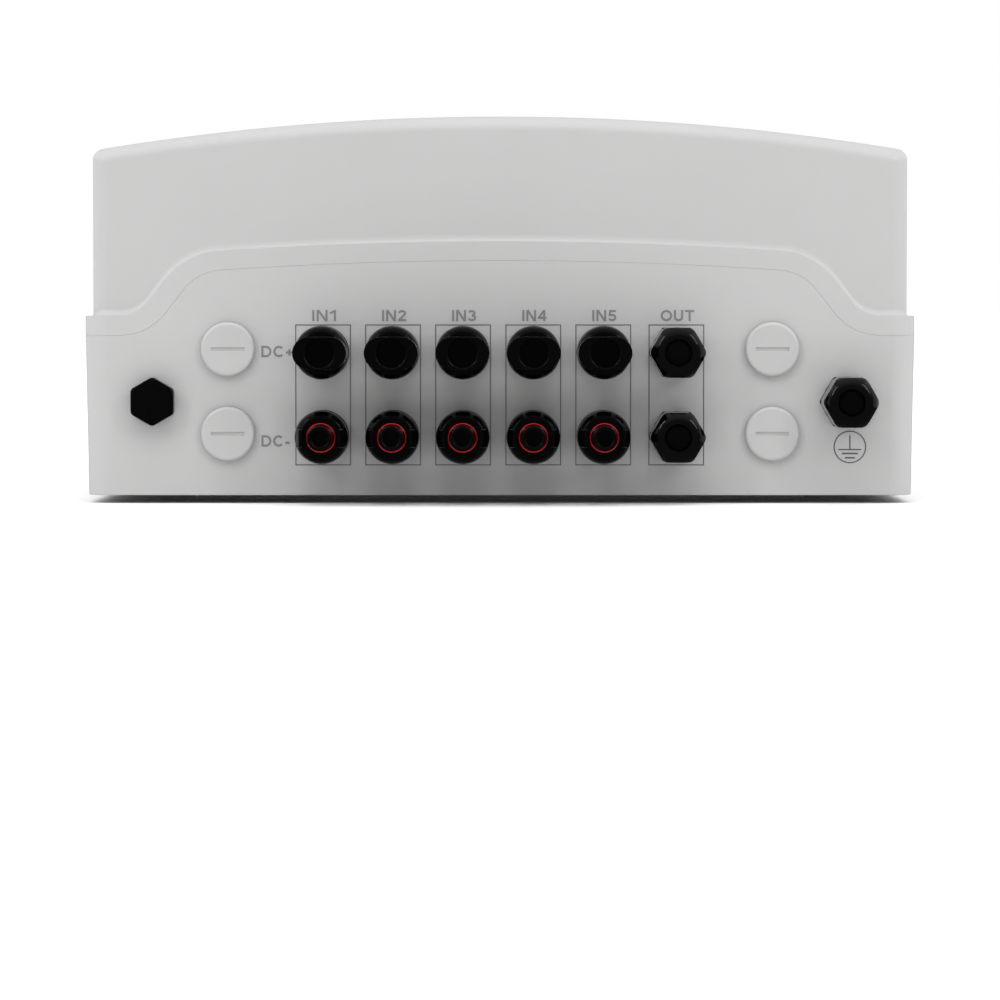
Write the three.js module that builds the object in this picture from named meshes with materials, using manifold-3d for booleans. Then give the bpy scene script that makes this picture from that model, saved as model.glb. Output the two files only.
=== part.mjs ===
// DC combiner box for solar strings: a wall-mounted plastic enclosure that collects five photovoltaic strings
// through panel connectors, fuses and switches them, and lets one output pair out through cable glands.
// Units are millimetres. +Z points out of the wall, -Y is the connector end (down on the wall), +X is to the
// right of a viewer who looks at the connector end with the front cover upwards.
// The origin is on the back face, at the centre of the enclosure.
import * as THREE from "three";
import { mergeVertices } from "three/addons/utils/BufferGeometryUtils.js";
import Module from "manifold-3d";

const wasm = await Module();
wasm.setup();

// ---------------------------------------------------------------- driving dimensions

const GAP = 0.3; // clearance between neighbouring pieces
const FAR = 400; // longer than the object, for cutters

const BASE = { halfX: 160, halfY: 225, corner: 9.6, back: 3.1, draft: 1.1 };
const PLINTH = { halfX: 119.5, halfY: 185.5 };
const WALL = 3.5; // base wall and floor
const SPLIT_Z = 64.6; // parting line along the long sides
const FLANGE = 7.5; // height of the cover's flange over the parting line
const SEAM = 0.4; // open gap at the parting line
const RIM = { inset: 6, depth: 8 }; // thickened rim of the base, under the cover

const COVER = { halfX: 157, halfY: 222.2, corner: 6.6, wall: 3, sideRound: 3.5, endRound: 5.5 };
const DOME = { apex: 148.8, radius: 950 };
const ARCH = {
  crown: 100.8, radius: 1590,
  halfFoot: 138.9, slope: 52.4, footRadius: 14.5, shoulderRadius: 27,
};
const ARCH_LEAN = 1.9; // how far the arched end face leans in at the crown

const OPENING = { halfY: 173.5, deckZ: 121.6, deckThick: 2.5, bulkhead: 2.5 };
const DISH = { halfX: 128, halfY: 160 };
const WINDOW = { thick: 2.6, lowerZ: 123.9 };
const HINGE = { x: -153.5, z: 126.1, pin: 2, knuckle: 3.5, knuckleLength: 8, bossLength: 9.5 };

const TROUGH = { x0: 138, x1: 154, halfY: 98, floor: 113.6, wall: 2.5 };
const RIB = { x0: 141, x1: 151.5, y0: 98.5, y1: 106, top: 133.4 };
const CATCH = { x0: 128.6, x1: 137.4, y0: 31, y1: 36.5, top: 133.6 };
const LATCH = { y: 70, x: 137.6, openX: 23, openY: 34, thumbX: 20.6, thumbY: 20.6, thumbShift: 5.5,
  proud: 2.8 };
const LATCH_BAR = { x0: 130.5, x1: 135.5, z0: 126.6, z1: 131.4, y0: 40, y1: 98, plateY0: 51 };

const SCREW = { x: 141, y: 204, shank: 2.7, head: 6, headZ: 130.9, top: 136.6, tip: 47.6 };
const WALL_HOLE = { x: 132, y: 188, radius: 3.25 };

const RAIL = { y: 62.5, z: 44.6, halfX: 115, halfWidth: 17.5, hat: 12.5, depth: 7.5, thick: 1 };
const MODULE = 18; // width of one DIN module
const EARTH_BAR_Z = 26;
const SLOT = { halfX: 109, halfY: 23 };
const MASK = { z: 101.6, thick: 2.5, halfX: 119, halfY: 150, flange: 5 };
const DEVICE = { back: 39.6, shoulderZ: 89.6, halfY: 42.5, noseZ: 104.6, noseHalfY: 22.2 };

const STRINGS = 5;
const STRING_PITCH = 26.95;
const STRING_FIRST_X = -68.1;
const ROW_PLUS_Z = 58.1;
const ROW_MINUS_Z = 25.8;
const OUT_X = 67.8;
const EARTH = { x: 133.6, z: 39.1 };
const VENT = { x: -133.4, z: 39.2 };
const PLUG = { x: 104.6, upperZ: 59.3, lowerZ: 26.8, topEndZ: 62.6 };
const CONNECTOR_HOLE = 6.3;
const GLAND_HOLE = 8.3;

const ROUND = 14; // facets on small round pieces
const SIDES = [-1, 1];

// ---------------------------------------------------------------- colours

const paint = (color, roughness, metalness = 0, opacity = 1) =>
  new THREE.MeshStandardMaterial({ color, roughness, metalness, opacity, transparent: opacity < 1 });

const PAINT = {
  shell: paint(0xdcdcda, 0.45),
  tinted: paint(0x3b4240, 0.1, 0, 0.45),
  black: paint(0x0b0b0c, 0.4),
  rubber: paint(0x101010, 0.8),
  green: paint(0x0b7d2c, 0.4),
  device: paint(0xe6e6e3, 0.5),
  carrier: paint(0xc9ccce, 0.5),
  lever: paint(0x18181a, 0.4),
  cartridge: paint(0xb8bcc0, 0.5),
  zinc: paint(0xb9bcc0, 0.35, 1),
  copper: paint(0xb56a3c, 0.35, 1),
  brass: paint(0xb9974f, 0.35, 1),
};

// ---------------------------------------------------------------- solids

// A closed mesh as a manifold-3d solid, with its faces turned outwards.
function solid(geometry) {
  const bare = new THREE.BufferGeometry().setAttribute("position", geometry.getAttribute("position"));
  if (geometry.index) bare.setIndex(geometry.index);
  const merged = mergeVertices(bare, 1e-4);
  const all = merged.index.array;
  const kept = [];
  for (let i = 0; i < all.length; i += 3) {
    const [a, b, c] = [all[i], all[i + 1], all[i + 2]];
    if (a !== b && b !== c && a !== c) kept.push(a, b, c);
  }
  const vertProperties = merged.attributes.position.array;
  const make = (triVerts) => new wasm.Manifold(new wasm.Mesh({ numProp: 3, vertProperties, triVerts }));
  const made = make(new Uint32Array(kept));
  if (made.volume() > 0) return made;
  return make(new Uint32Array(kept.reverse()));
}

function geometryOf(manifold) {
  const mesh = manifold.getMesh();
  const points = new Float32Array(mesh.numVert * 3);
  for (let i = 0; i < mesh.numVert; i++) {
    points.set(mesh.vertProperties.subarray(i * mesh.numProp, i * mesh.numProp + 3), i * 3);
  }
  const geometry = new THREE.BufferGeometry()
    .setAttribute("position", new THREE.BufferAttribute(points, 3))
    .setIndex(new THREE.BufferAttribute(mesh.triVerts, 1))
    .toNonIndexed();
  geometry.computeVertexNormals();
  return geometry;
}

const join = (...solids) => solids.reduce((a, b) => a.add(b));
const cut = (body, ...tools) => tools.reduce((a, b) => a.subtract(b), body);

function box(x0, x1, y0, y1, z0, z1) {
  const geometry = new THREE.BoxGeometry(x1 - x0, y1 - y0, z1 - z0);
  return solid(geometry.translate((x0 + x1) / 2, (y0 + y1) / 2, (z0 + z1) / 2));
}

// A round bar along +Z, +Y or +X, from a point.
function bar(axis, radius, length, [x, y, z], facets = ROUND) {
  const geometry = new THREE.CylinderGeometry(radius, radius, length, facets).translate(0, length / 2, 0);
  if (axis === "z") geometry.rotateX(Math.PI / 2);
  if (axis === "x") geometry.rotateZ(-Math.PI / 2);
  return solid(geometry.translate(x, y, z));
}

// A six-sided bar along +Y around the origin. Its corners point up and down, or sideways when turned.
function hexBar(acrossFlats, y0, y1, turned) {
  const radius = acrossFlats / Math.sqrt(3);
  const geometry = new THREE.CylinderGeometry(radius, radius, y1 - y0, 6).translate(0, (y0 + y1) / 2, 0);
  if (turned) geometry.rotateY(Math.PI / 6);
  return solid(geometry);
}

// A turned piece about the Y axis, from a profile of [radius, height] that closes on the axis.
function turned(profile, facets = 16) {
  return solid(new THREE.LatheGeometry(profile.map(([r, h]) => new THREE.Vector2(r, h)), facets));
}

const outline = (points) => new THREE.Shape(points.map(([x, y]) => new THREE.Vector2(x, y)));

// An outline in X and Z, swept along Y.
function alongY(points, y0, y1) {
  const geometry = new THREE.ExtrudeGeometry(outline(points), { depth: y1 - y0, bevelEnabled: false });
  return solid(geometry.rotateX(Math.PI / 2).translate(0, y1, 0));
}

// An outline in Y and Z, swept along X.
function alongX(points, x0, x1) {
  const geometry = new THREE.ExtrudeGeometry(outline(points), { depth: x1 - x0, bevelEnabled: false });
  const [ex, ey, ez] = [new THREE.Vector3(1, 0, 0), new THREE.Vector3(0, 1, 0), new THREE.Vector3(0, 0, 1)];
  geometry.applyMatrix4(new THREE.Matrix4().makeBasis(ey, ez, ex));
  return solid(geometry.translate(x0, 0, 0));
}

// A flat stadium outline: length along the first coordinate, height along the second.
function stadium(length, height, facets = 6) {
  const points = [];
  const straight = (length - height) / 2;
  for (const side of [1, -1]) {
    for (let i = 0; i <= facets; i++) {
      const angle = (Math.PI * i) / facets - (side * Math.PI) / 2;
      points.push([side * straight + (height / 2) * Math.cos(angle), (height / 2) * Math.sin(angle)]);
    }
  }
  return points;
}

// ---------------------------------------------------------------- lofted shells

const domeZ = (x, apex = DOME.apex) => apex - DOME.radius + Math.sqrt(DOME.radius ** 2 - x ** 2);

// The -Y half of a rounded rectangle, from its left side to its right side. Each point also says how far round
// the corner it lies: 0 on the long side, 1 on the end.
function halfOutline(halfX, halfY, corner, insetX = 0, insetY = 0, cornerSteps = 4, endSteps = 10) {
  const points = [];
  const turn = (side, i) => {
    const angle = (Math.PI / 2) * (i / cornerSteps);
    const x = halfX - corner + (corner - insetX) * Math.cos(angle);
    const y = halfY - corner + (corner - insetY) * Math.sin(angle);
    return { x: side * x, y: -y, end: i / cornerSteps };
  };
  for (let i = 0; i <= cornerSteps; i++) points.push(turn(-1, i));
  for (let i = 1; i < endSteps; i++) {
    const x = (halfX - corner) * ((2 * i) / endSteps - 1);
    points.push({ x, y: -(halfY - insetY), end: 1 });
  }
  for (let i = cornerSteps; i >= 0; i--) points.push(turn(1, i));
  return points;
}

// A closed solid through rings. A ring is the -Y half outline with a z on each point, mirrored for the +Y half.
function loft(rings) {
  const half = rings[0].length;
  const count = half * 2;
  const positions = [];
  for (const ring of rings) {
    for (const p of ring) positions.push(p.x, p.y, p.z);
    for (const p of [...ring].reverse()) positions.push(p.x, -p.y, p.z);
  }
  const index = [];
  for (let k = 0; k + 1 < rings.length; k++) {
    for (let i = 0; i < count; i++) {
      const [a, b] = [k * count + i, k * count + ((i + 1) % count)];
      index.push(a, b, b + count, a, b + count, a + count);
    }
  }
  const cap = (first, flip) => {
    for (let i = 0; i + 1 < half; i++) {
      const [a, b] = [first + i, first + i + 1];
      const [c, d] = [first + count - 2 - i, first + count - 1 - i];
      index.push(...(flip ? [a, c, b, a, d, c] : [a, b, c, a, c, d]));
    }
  };
  cap(0, true);
  cap((rings.length - 1) * count, false);
  const geometry = new THREE.BufferGeometry();
  geometry.setAttribute("position", new THREE.Float32BufferAttribute(positions, 3));
  return solid(geometry.setIndex(index));
}

// A straight or tapered block with rounded vertical corners, from [z, halfX, halfY] levels.
function block(levels, corner) {
  const ring = ([z, halfX, halfY]) => halfOutline(halfX, halfY, corner, 0, 0, 4, 1).map((p) => ({ ...p, z }));
  return loft(levels.map(ring));
}

// A block whose top follows the dome, with rounded top edges.
function domedBlock(halfX, halfY, corner, apex, sideRound, endRound, z0, steps = 3) {
  const rings = [halfOutline(halfX, halfY, corner).map((p) => ({ ...p, z: z0 }))];
  for (let k = 0; k <= steps; k++) {
    const angle = (Math.PI / 2) * (k / steps);
    const [shrink, drop] = [1 - Math.cos(angle), 1 - Math.sin(angle)];
    const ring = halfOutline(halfX, halfY, corner, sideRound * shrink, endRound * shrink);
    rings.push(
      ring.map((p) => ({ ...p, z: domeZ(p.x, apex) - drop * (sideRound + (endRound - sideRound) * p.end) })),
    );
  }
  return loft(rings);
}

// ---------------------------------------------------------------- the arched parting line

// The line of the flange's top in X and Z, or a line "below" it by that much: flat at the sides, then an S-curve up
// to a wide arc over the middle. The fillets' centres stay put, so the two lines run parallel.
function archLine(below) {
  const slope = THREE.MathUtils.degToRad(ARCH.slope);
  const shoulderZ = SPLIT_Z + FLANGE;
  const foot = { x: ARCH.halfFoot + ARCH.footRadius * Math.tan(slope / 2), z: shoulderZ + ARCH.footRadius };
  const arcCentre = ARCH.crown - ARCH.radius;
  // The shoulder fillet touches the slope and the wide arc from inside.
  const reach = ARCH.radius - ARCH.shoulderRadius;
  const offset = { x: Math.sin(slope), z: Math.cos(slope) };
  const onSlope = {
    x: ARCH.halfFoot - ARCH.shoulderRadius * offset.x,
    z: shoulderZ - ARCH.shoulderRadius * offset.z,
  };
  let along = 0;
  for (let step = 16; step > 1e-4; step /= 2) {
    const [x, z] = [onSlope.x - (along + step) * offset.z, onSlope.z + (along + step) * offset.x];
    if (Math.hypot(x, z - arcCentre) < reach) along += step;
  }
  const shoulder = { x: onSlope.x - along * offset.z, z: onSlope.z + along * offset.x };
  const lean = Math.atan2(shoulder.x, shoulder.z - arcCentre);
  const half = [];
  const steps = 4;
  for (let i = 0; i <= steps; i++) {
    const angle = slope * (i / steps);
    const radius = ARCH.footRadius + below;
    half.push([foot.x - radius * Math.sin(angle), foot.z - radius * Math.cos(angle)]);
  }
  for (let i = 0; i <= steps; i++) {
    const angle = slope + (lean - slope) * (i / steps);
    const radius = ARCH.shoulderRadius - below;
    half.push([shoulder.x + radius * Math.sin(angle), shoulder.z + radius * Math.cos(angle)]);
  }
  for (let i = 1; i <= steps; i++) {
    const angle = lean * (1 - i / steps);
    const radius = ARCH.radius - below;
    half.push([radius * Math.sin(angle), arcCentre + radius * Math.cos(angle)]);
  }
  const right = half.map(([x, z]) => [x, z]);
  const left = half.slice(0, -1).reverse().map(([x, z]) => [-x, z]);
  return [[FAR, half[0][1]], ...right, ...left, [-FAR, half[0][1]]];
}

// All the space under an arch line.
const underArch = (below) => alongY([[-FAR, -FAR], [FAR, -FAR], ...archLine(below)], -FAR, FAR);

// ---------------------------------------------------------------- places on the connector end

const stringX = (i) => STRING_FIRST_X + STRING_PITCH * i;

// Moves a piece that was made about +Y, with its seat at the origin, to the connector end or to the top end.
function seat(piece, x, z, topEnd = false) {
  if (topEnd) return piece.translate([x, BASE.halfY, z]);
  return piece.rotate([0, 0, 180]).translate([x, -BASE.halfY, z]);
}

// Every hole through the two end walls.
function endHoles() {
  const holes = [];
  const drill = (x, z, radius, side = -1) => {
    holes.push(bar("y", radius, 30, [x, side * BASE.halfY - 15, z]));
  };
  for (let i = 0; i < STRINGS; i++) {
    drill(stringX(i), ROW_PLUS_Z, CONNECTOR_HOLE);
    drill(stringX(i), ROW_MINUS_Z, CONNECTOR_HOLE);
  }
  drill(VENT.x, VENT.z, CONNECTOR_HOLE);
  drill(OUT_X, ROW_PLUS_Z, GLAND_HOLE);
  drill(OUT_X, ROW_MINUS_Z, GLAND_HOLE);
  drill(EARTH.x, EARTH.z, GLAND_HOLE);
  for (const side of SIDES) {
    drill(side * PLUG.x, PLUG.upperZ, GLAND_HOLE);
    drill(side * PLUG.x, PLUG.lowerZ, GLAND_HOLE);
    drill(side * PLUG.x, PLUG.topEndZ, GLAND_HOLE, 1);
  }
  return holes;
}

// ---------------------------------------------------------------- enclosure

// The outside of the base and of the cover's flange, before they part.
function outerBlock() {
  const { halfX, halfY, corner, back, draft } = BASE;
  return block(
    [
      [back, halfX - draft, halfY - 0.6],
      [back + 1, halfX - draft + 0.1, halfY],
      [SPLIT_Z, halfX, halfY],
      [ARCH.crown + 1, halfX, halfY - ARCH_LEAN],
    ],
    corner,
  );
}

// The ring that the sealing cord runs in, as a solid between two heights over the parting line.
function sealRing(extra, lower, upper) {
  const mid = { halfX: 156.3, halfY: 220.8 };
  const half = 0.9 + extra;
  const levels = (grow) => [
    [SPLIT_Z - 20, mid.halfX + grow, mid.halfY + grow],
    [ARCH.crown + 10, mid.halfX + grow, mid.halfY + grow],
  ];
  const ring = cut(block(levels(half), 6), block(levels(-half), 4.2));
  return cut(ring.intersect(underArch(FLANGE - upper)), underArch(FLANGE - lower));
}

function baseBox() {
  const { halfX, halfY, corner } = BASE;
  const floor = BASE.back + WALL;
  const shell = outerBlock().intersect(underArch(FLANGE));
  const upright = (inset, radius) => block([floor, FAR].map((z) => [z, halfX - inset, halfY - inset]), radius);
  const cavity = upright(WALL, corner - WALL);
  const mouth = upright(RIM.inset, 3.6);
  let base = cut(shell, cavity.intersect(underArch(FLANGE + RIM.depth)), mouth);
  base = join(base, box(-PLINTH.halfX, PLINTH.halfX, -PLINTH.halfY, PLINTH.halfY, 0, floor));
  for (const sx of SIDES) {
    for (const sy of SIDES) {
      const post = bar("z", 7.5, SPLIT_Z - floor, [sx * SCREW.x, sy * SCREW.y, floor - 0.5]);
      const pilot = bar("z", SCREW.shank + GAP, 30, [sx * SCREW.x, sy * SCREW.y, SCREW.tip - 2]);
      const [postX, postY] = [sx * 100, sy * RAIL.y];
      const railPost = box(postX - 9, postX + 9, postY - 7, postY + 7, floor - 1, RAIL.z - RAIL.depth - GAP);
      const fixing = bar("z", WALL_HOLE.radius, 12, [sx * WALL_HOLE.x, sy * WALL_HOLE.y, -3]);
      base = cut(join(base, post, railPost), pilot, fixing);
    }
  }
  base = join(base, box(118, 128, -182, -128, floor - 1, EARTH_BAR_Z - GAP));
  return cut(base, sealRing(GAP, -2.3, 2), ...endHoles());
}

// The sloping rib at one end of the trough, which holds up the window's edge.
function edgeRib(side) {
  const { x0, x1, y0, y1, top } = RIB;
  const deck = OPENING.deckZ - 1;
  const face = [[side * y0, deck], [side * y1, deck], [side * (y0 + 2.5), top], [side * y0, top]];
  return alongX(face, x0, x1);
}

// The post that a latch's bar slides into, with a hole for the bar.
function latchCatch(side) {
  const { x0, x1, y0, y1, top } = CATCH;
  const bore = LATCH_BAR;
  const [near, far] = [Math.min(side * y0, side * y1), Math.max(side * y0, side * y1)];
  return cut(
    box(x0, x1, near, far, OPENING.deckZ - 1, top),
    box(bore.x0 - 0.6, bore.x1 + 0.6, -FAR, FAR, bore.z0 - 0.6, bore.z1 + 0.6),
  );
}

function outerDome() {
  const { halfX, halfY, corner, sideRound, endRound } = COVER;
  return domedBlock(halfX, halfY, corner, DOME.apex, sideRound, endRound, 50);
}

function frontCover() {
  const { halfX, halfY, corner, wall } = COVER;
  const { deckZ, deckThick, bulkhead } = OPENING;
  const dome = outerDome();
  const hollow = domedBlock(halfX - wall, halfY - wall, corner - wall, DOME.apex - wall, 2, 3, 40);
  const flange = outerBlock().intersect(underArch(0));
  const outer = cut(join(dome, flange), underArch(FLANGE - SEAM));
  let cover = cut(outer, hollow, box(-FAR, FAR, -OPENING.halfY, OPENING.halfY, deckZ, FAR));
  // The deck behind the window, the bulkheads at its ends, the trough and the hinge bosses.
  const inside = dome.intersect(box(-FAR, FAR, -FAR, FAR, deckZ - 15, FAR));
  const ends = OPENING.halfY + bulkhead;
  const deck = box(-FAR, FAR, -ends, ends, deckZ - deckThick, deckZ);
  const bay = box(-FAR, FAR, -OPENING.halfY, OPENING.halfY, 0, FAR);
  const walls = cut(box(-FAR, FAR, -ends, ends, deckZ - deckThick, FAR), bay);
  const trough = box(
    TROUGH.x0 - TROUGH.wall, FAR,
    -TROUGH.halfY - TROUGH.wall, TROUGH.halfY + TROUGH.wall,
    TROUGH.floor - TROUGH.wall, deckZ - 1,
  );
  const hingeBosses = SIDES.map((side) => {
    const [near, far] = [side * OPENING.halfY, side * (OPENING.halfY + HINGE.bossLength)];
    return box(-FAR, HINGE.x + 5.5, Math.min(near, far), Math.max(near, far), deckZ - deckThick, HINGE.z + 5.5);
  });
  cover = join(cover, join(deck, walls, trough, ...hingeBosses).intersect(inside));
  cover = cut(
    cover,
    box(-DISH.halfX, DISH.halfX, -DISH.halfY, DISH.halfY, deckZ - 20, deckZ + 5),
    box(TROUGH.x0, TROUGH.x1, -TROUGH.halfY, TROUGH.halfY, TROUGH.floor, deckZ + 5),
  );
  cover = join(cover, latchCatch(-1), latchCatch(1), edgeRib(-1), edgeRib(1));
  for (const side of SIDES) {
    const start = side > 0 ? OPENING.halfY - 1 : -OPENING.halfY - HINGE.bossLength + 1;
    cover = cut(cover, bar("y", HINGE.pin + GAP, HINGE.bossLength, [HINGE.x, start, HINGE.z]));
  }
  // Pillars for the cover's long screws.
  for (const sx of SIDES) {
    for (const sy of SIDES) {
      const at = (z) => [sx * SCREW.x, sy * SCREW.y, z];
      const pillar = bar("z", 8, 100, at(SPLIT_Z + SEAM)).intersect(dome);
      const hole = bar("z", SCREW.shank + GAP, 120, at(SPLIT_Z - 10));
      const counterbore = bar("z", SCREW.head + GAP, 30, at(SCREW.headZ - GAP));
      cover = cut(join(cover, pillar), hole, counterbore);
    }
  }
  return cut(cover, sealRing(GAP, -2.3, 2));
}

function windowPane() {
  const { halfX, halfY, corner, sideRound, endRound } = COVER;
  const { thick, lowerZ } = WINDOW;
  const inner = domedBlock(halfX - thick, halfY - thick, corner - thick, DOME.apex - thick, 2, 3, 40);
  const ends = OPENING.halfY - GAP;
  const region = box(-FAR, FAR, -ends, ends, lowerZ, FAR);
  let pane = cut(outerDome(), inner).intersect(region);
  for (const side of SIDES) {
    const start = side > 0 ? ends - HINGE.knuckleLength : -ends;
    const knuckle = bar("y", HINGE.knuckle, HINGE.knuckleLength, [HINGE.x, start, HINGE.z]);
    const boreStart = start + (side > 0 ? 1 : -0.2);
    const bore = bar("y", HINGE.pin + GAP, HINGE.knuckleLength - 0.8, [HINGE.x, boreStart, HINGE.z]);
    pane = cut(join(pane, knuckle), bore);
    pane = cut(pane, slotPrism(LATCH.x, side * LATCH.y, LATCH.openX, LATCH.openY));
  }
  return pane;
}

// A long vertical prism with round ends, its length along Y.
function slotPrism(x, y, width, length, z0 = 127, z1 = 152) {
  const depth = z1 - z0;
  const geometry = new THREE.ExtrudeGeometry(outline(stadium(length, width)), { depth, bevelEnabled: false });
  return solid(geometry.rotateZ(Math.PI / 2).translate(x, y, z0));
}

// A sliding latch: a bar that runs into its catch, a wide plate under the window, and a thumb piece that stands
// in the window's oval opening. At rest it is drawn back, and 10 mm towards the middle locks the window.
function windowLatch(side) {
  const { x0, x1, y0, y1, z0, z1, plateY0 } = LATCH_BAR;
  const ordered = (a, b) => (side > 0 ? [a, b] : [-b, -a]);
  const slide = box(x0, x1, ...ordered(y0, y1), z0, z1);
  const plate = box(126.5, 150.6, ...ordered(plateY0, y1), z1 - 2.5, z1 + 1.4);
  const thumbY = side * (LATCH.y + LATCH.thumbShift);
  const [left, right] = [LATCH.x - 20, LATCH.x + 20];
  const top = [[right, domeZ(right) + LATCH.proud], [left, domeZ(left) + LATCH.proud]];
  const crown = alongY([[left, 100], [right, 100], ...top], -FAR, FAR);
  const thumb = slotPrism(LATCH.x, thumbY, LATCH.thumbX, LATCH.thumbY + 0.02, 131, 152).intersect(crown);
  return join(slide, plate, thumb);
}

function hingePin(side) {
  const start = side > 0 ? OPENING.halfY - HINGE.knuckleLength + 1.5 : -OPENING.halfY - HINGE.bossLength + 1.5;
  return bar("y", HINGE.pin, HINGE.knuckleLength + HINGE.bossLength - 3, [HINGE.x, start, HINGE.z]);
}

function windowSeal() {
  const { x0, x1, halfY, floor } = TROUGH;
  return box(x0 + 4, x1 - 2, -halfY + GAP, halfY - GAP, floor + GAP, OPENING.deckZ + 1.5);
}

function coverScrew(sx, sy) {
  const at = (z) => [sx * SCREW.x, sy * SCREW.y, z];
  const shank = bar("z", SCREW.shank, SCREW.headZ - SCREW.tip + 1, at(SCREW.tip));
  const head = bar("z", SCREW.head, SCREW.top - SCREW.headZ, at(SCREW.headZ));
  const slot = box(-4.4, 4.4, -0.8, 0.8, SCREW.top - 2, SCREW.top + 1).translate(at(0));
  return cut(join(shank, head), slot);
}

// ---------------------------------------------------------------- panel behind the window

function deviceMask() {
  const { z, thick, halfX, halfY, flange } = MASK;
  const top = OPENING.deckZ - OPENING.deckThick - GAP;
  const ring = (inset) => [
    [z - thick + inset, halfX - inset, halfY - inset],
    [top + inset, DISH.halfX - 1 - inset, DISH.halfY - 1 - inset],
  ];
  const outer = block(ring(0), 8);
  const inner = block(ring(thick), 6);
  const lip = cut(
    box(-DISH.halfX - flange, DISH.halfX + flange, -DISH.halfY - flange, DISH.halfY + flange, top - thick, top),
    block([[0, DISH.halfX - 4, DISH.halfY - 4], [FAR, DISH.halfX - 4, DISH.halfY - 4]], 6),
  );
  let mask = cut(join(outer, lip), inner);
  for (const side of SIDES) {
    const y = side * RAIL.y;
    mask = cut(mask, box(-SLOT.halfX, SLOT.halfX, y - SLOT.halfY, y + SLOT.halfY, z - 10, z + 10));
  }
  return mask;
}

// A snap-in strip that closes unused module places in a slot.
function blankStrip(x0, x1, y) {
  const half = SLOT.halfY - GAP;
  const plate = box(x0 + GAP, x1 - GAP, y - half, y + half, MASK.z - 2, MASK.z + 1);
  const clips = SIDES.map((side) => {
    const middle = y + side * (half - 1.5);
    return box(x0 + 4, x1 - 4, middle - 1, middle + 1, MASK.z - 7, MASK.z);
  });
  const grooves = [];
  for (let x = x0 + MODULE; x < x1 - 1; x += MODULE) {
    grooves.push(box(x - 0.4, x + 0.4, y - half - 1, y + half + 1, MASK.z + 0.5, MASK.z + 2));
  }
  return cut(join(plate, ...clips), ...grooves);
}

// ---------------------------------------------------------------- rails and devices

function dinRail(y) {
  const { z, halfX, halfWidth, hat, depth, thick } = RAIL;
  const bottom = z - depth;
  const profile = [
    [-halfWidth, z - thick], [-hat, z - thick], [-hat, bottom], [hat, bottom],
    [hat, z - thick], [halfWidth, z - thick], [halfWidth, z], [hat - thick, z],
    [hat - thick, bottom + thick], [-hat + thick, bottom + thick], [-hat + thick, z], [-halfWidth, z],
  ];
  return alongX(profile.map(([py, pz]) => [y + py, pz]), -halfX, halfX);
}

// The stepped side view that every rail-mounted device shares, with a notch for the rail.
function deviceBody(x0, x1, y, noseZ) {
  const { back, shoulderZ, halfY, noseHalfY } = DEVICE;
  const notch = { half: RAIL.halfWidth + 0.8, z: RAIL.z + GAP };
  const profile = [
    [-halfY, back], [-notch.half, back], [-notch.half, notch.z],
    [notch.half, notch.z], [notch.half, back], [halfY, back],
    [halfY, shoulderZ - 14], [halfY - 3, shoulderZ], [noseHalfY + 0.01, shoulderZ], [noseHalfY, noseZ],
    [-noseHalfY, noseZ], [-noseHalfY - 0.01, shoulderZ], [-halfY + 3, shoulderZ], [-halfY, shoulderZ - 14],
  ];
  return alongX(profile.map(([py, pz]) => [y + py, pz]), x0 + GAP / 2, x1 - GAP / 2);
}

// Wire entries at one end of a device, one for each module.
function terminalHoles(x0, x1, y, z, size = 6) {
  const holes = [];
  for (let x = x0 + MODULE / 2; x < x1; x += MODULE) {
    holes.push(box(x - size / 2, x + size / 2, y - 12, y + 12, z - size / 2, z + size / 2));
  }
  return holes;
}

const FUSE_Y = -RAIL.y;
const FUSE_WIDTH = 2 * MODULE;
const FUSE_BODY_Z = 93.6;
const rowX = -6 * MODULE;

function fuseHolder(x0) {
  const body = deviceBody(x0, x0 + FUSE_WIDTH, FUSE_Y, FUSE_BODY_Z);
  const middle = x0 + MODULE;
  const divider = box(middle - 0.4, middle + 0.4, FUSE_Y - 50, FUSE_Y + 50, DEVICE.shoulderZ - 1.5, FAR);
  const entries = terminalHoles(x0, x0 + FUSE_WIDTH, FUSE_Y - DEVICE.halfY, 67.6);
  const pins = [BUSBAR_PLUS, BUSBAR_MINUS].map((bus) => {
    const x = x0 + bus.pinX;
    return box(x - 2.6, x + 2.6, FUSE_Y + DEVICE.halfY - 11, FUSE_Y + DEVICE.halfY + 5, bus.z - 1.4, bus.z + 1.4);
  });
  return cut(body, divider, ...entries, ...pins);
}

// The hinged fuse drawer of a holder, shut, with a grip along its upper edge.
function fuseCarrier(x0) {
  const [low, high] = [FUSE_BODY_Z + GAP, DEVICE.noseZ + 2];
  const half = DEVICE.noseHalfY - 0.4;
  const profile = [
    [-half, low], [half, low], [half, high - 3], [half - 3, high], [half - 9, high], [half - 12, high - 4.5],
    [-half + 6, high - 4.5], [-half, high - 8],
  ];
  const drawer = alongX(profile.map(([py, pz]) => [FUSE_Y + py, pz]), x0 + 0.8, x0 + FUSE_WIDTH - 0.8);
  return cut(drawer, box(x0 + MODULE - 0.4, x0 + MODULE + 0.4, FUSE_Y - 30, FUSE_Y + half - 10, low + 3, FAR));
}

// Comb busbars behind the fuse holders, one for each pole.
const BUSBAR_PLUS = { pinX: MODULE / 2, z: 75.6 };
const BUSBAR_MINUS = { pinX: (3 * MODULE) / 2, z: 59.6 };

function busbar({ pinX, z }) {
  const y = FUSE_Y + DEVICE.halfY;
  const strip = box(rowX + 2, rowX + STRINGS * FUSE_WIDTH + 8, y + 2, y + 5, z - 6, z + 6);
  const pins = [];
  for (let i = 0; i < STRINGS; i++) {
    const x = rowX + i * FUSE_WIDTH + pinX;
    pins.push(box(x - 2, x + 2, y - 9, y + 3, z - 1, z + 1));
  }
  return join(strip, ...pins);
}

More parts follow.
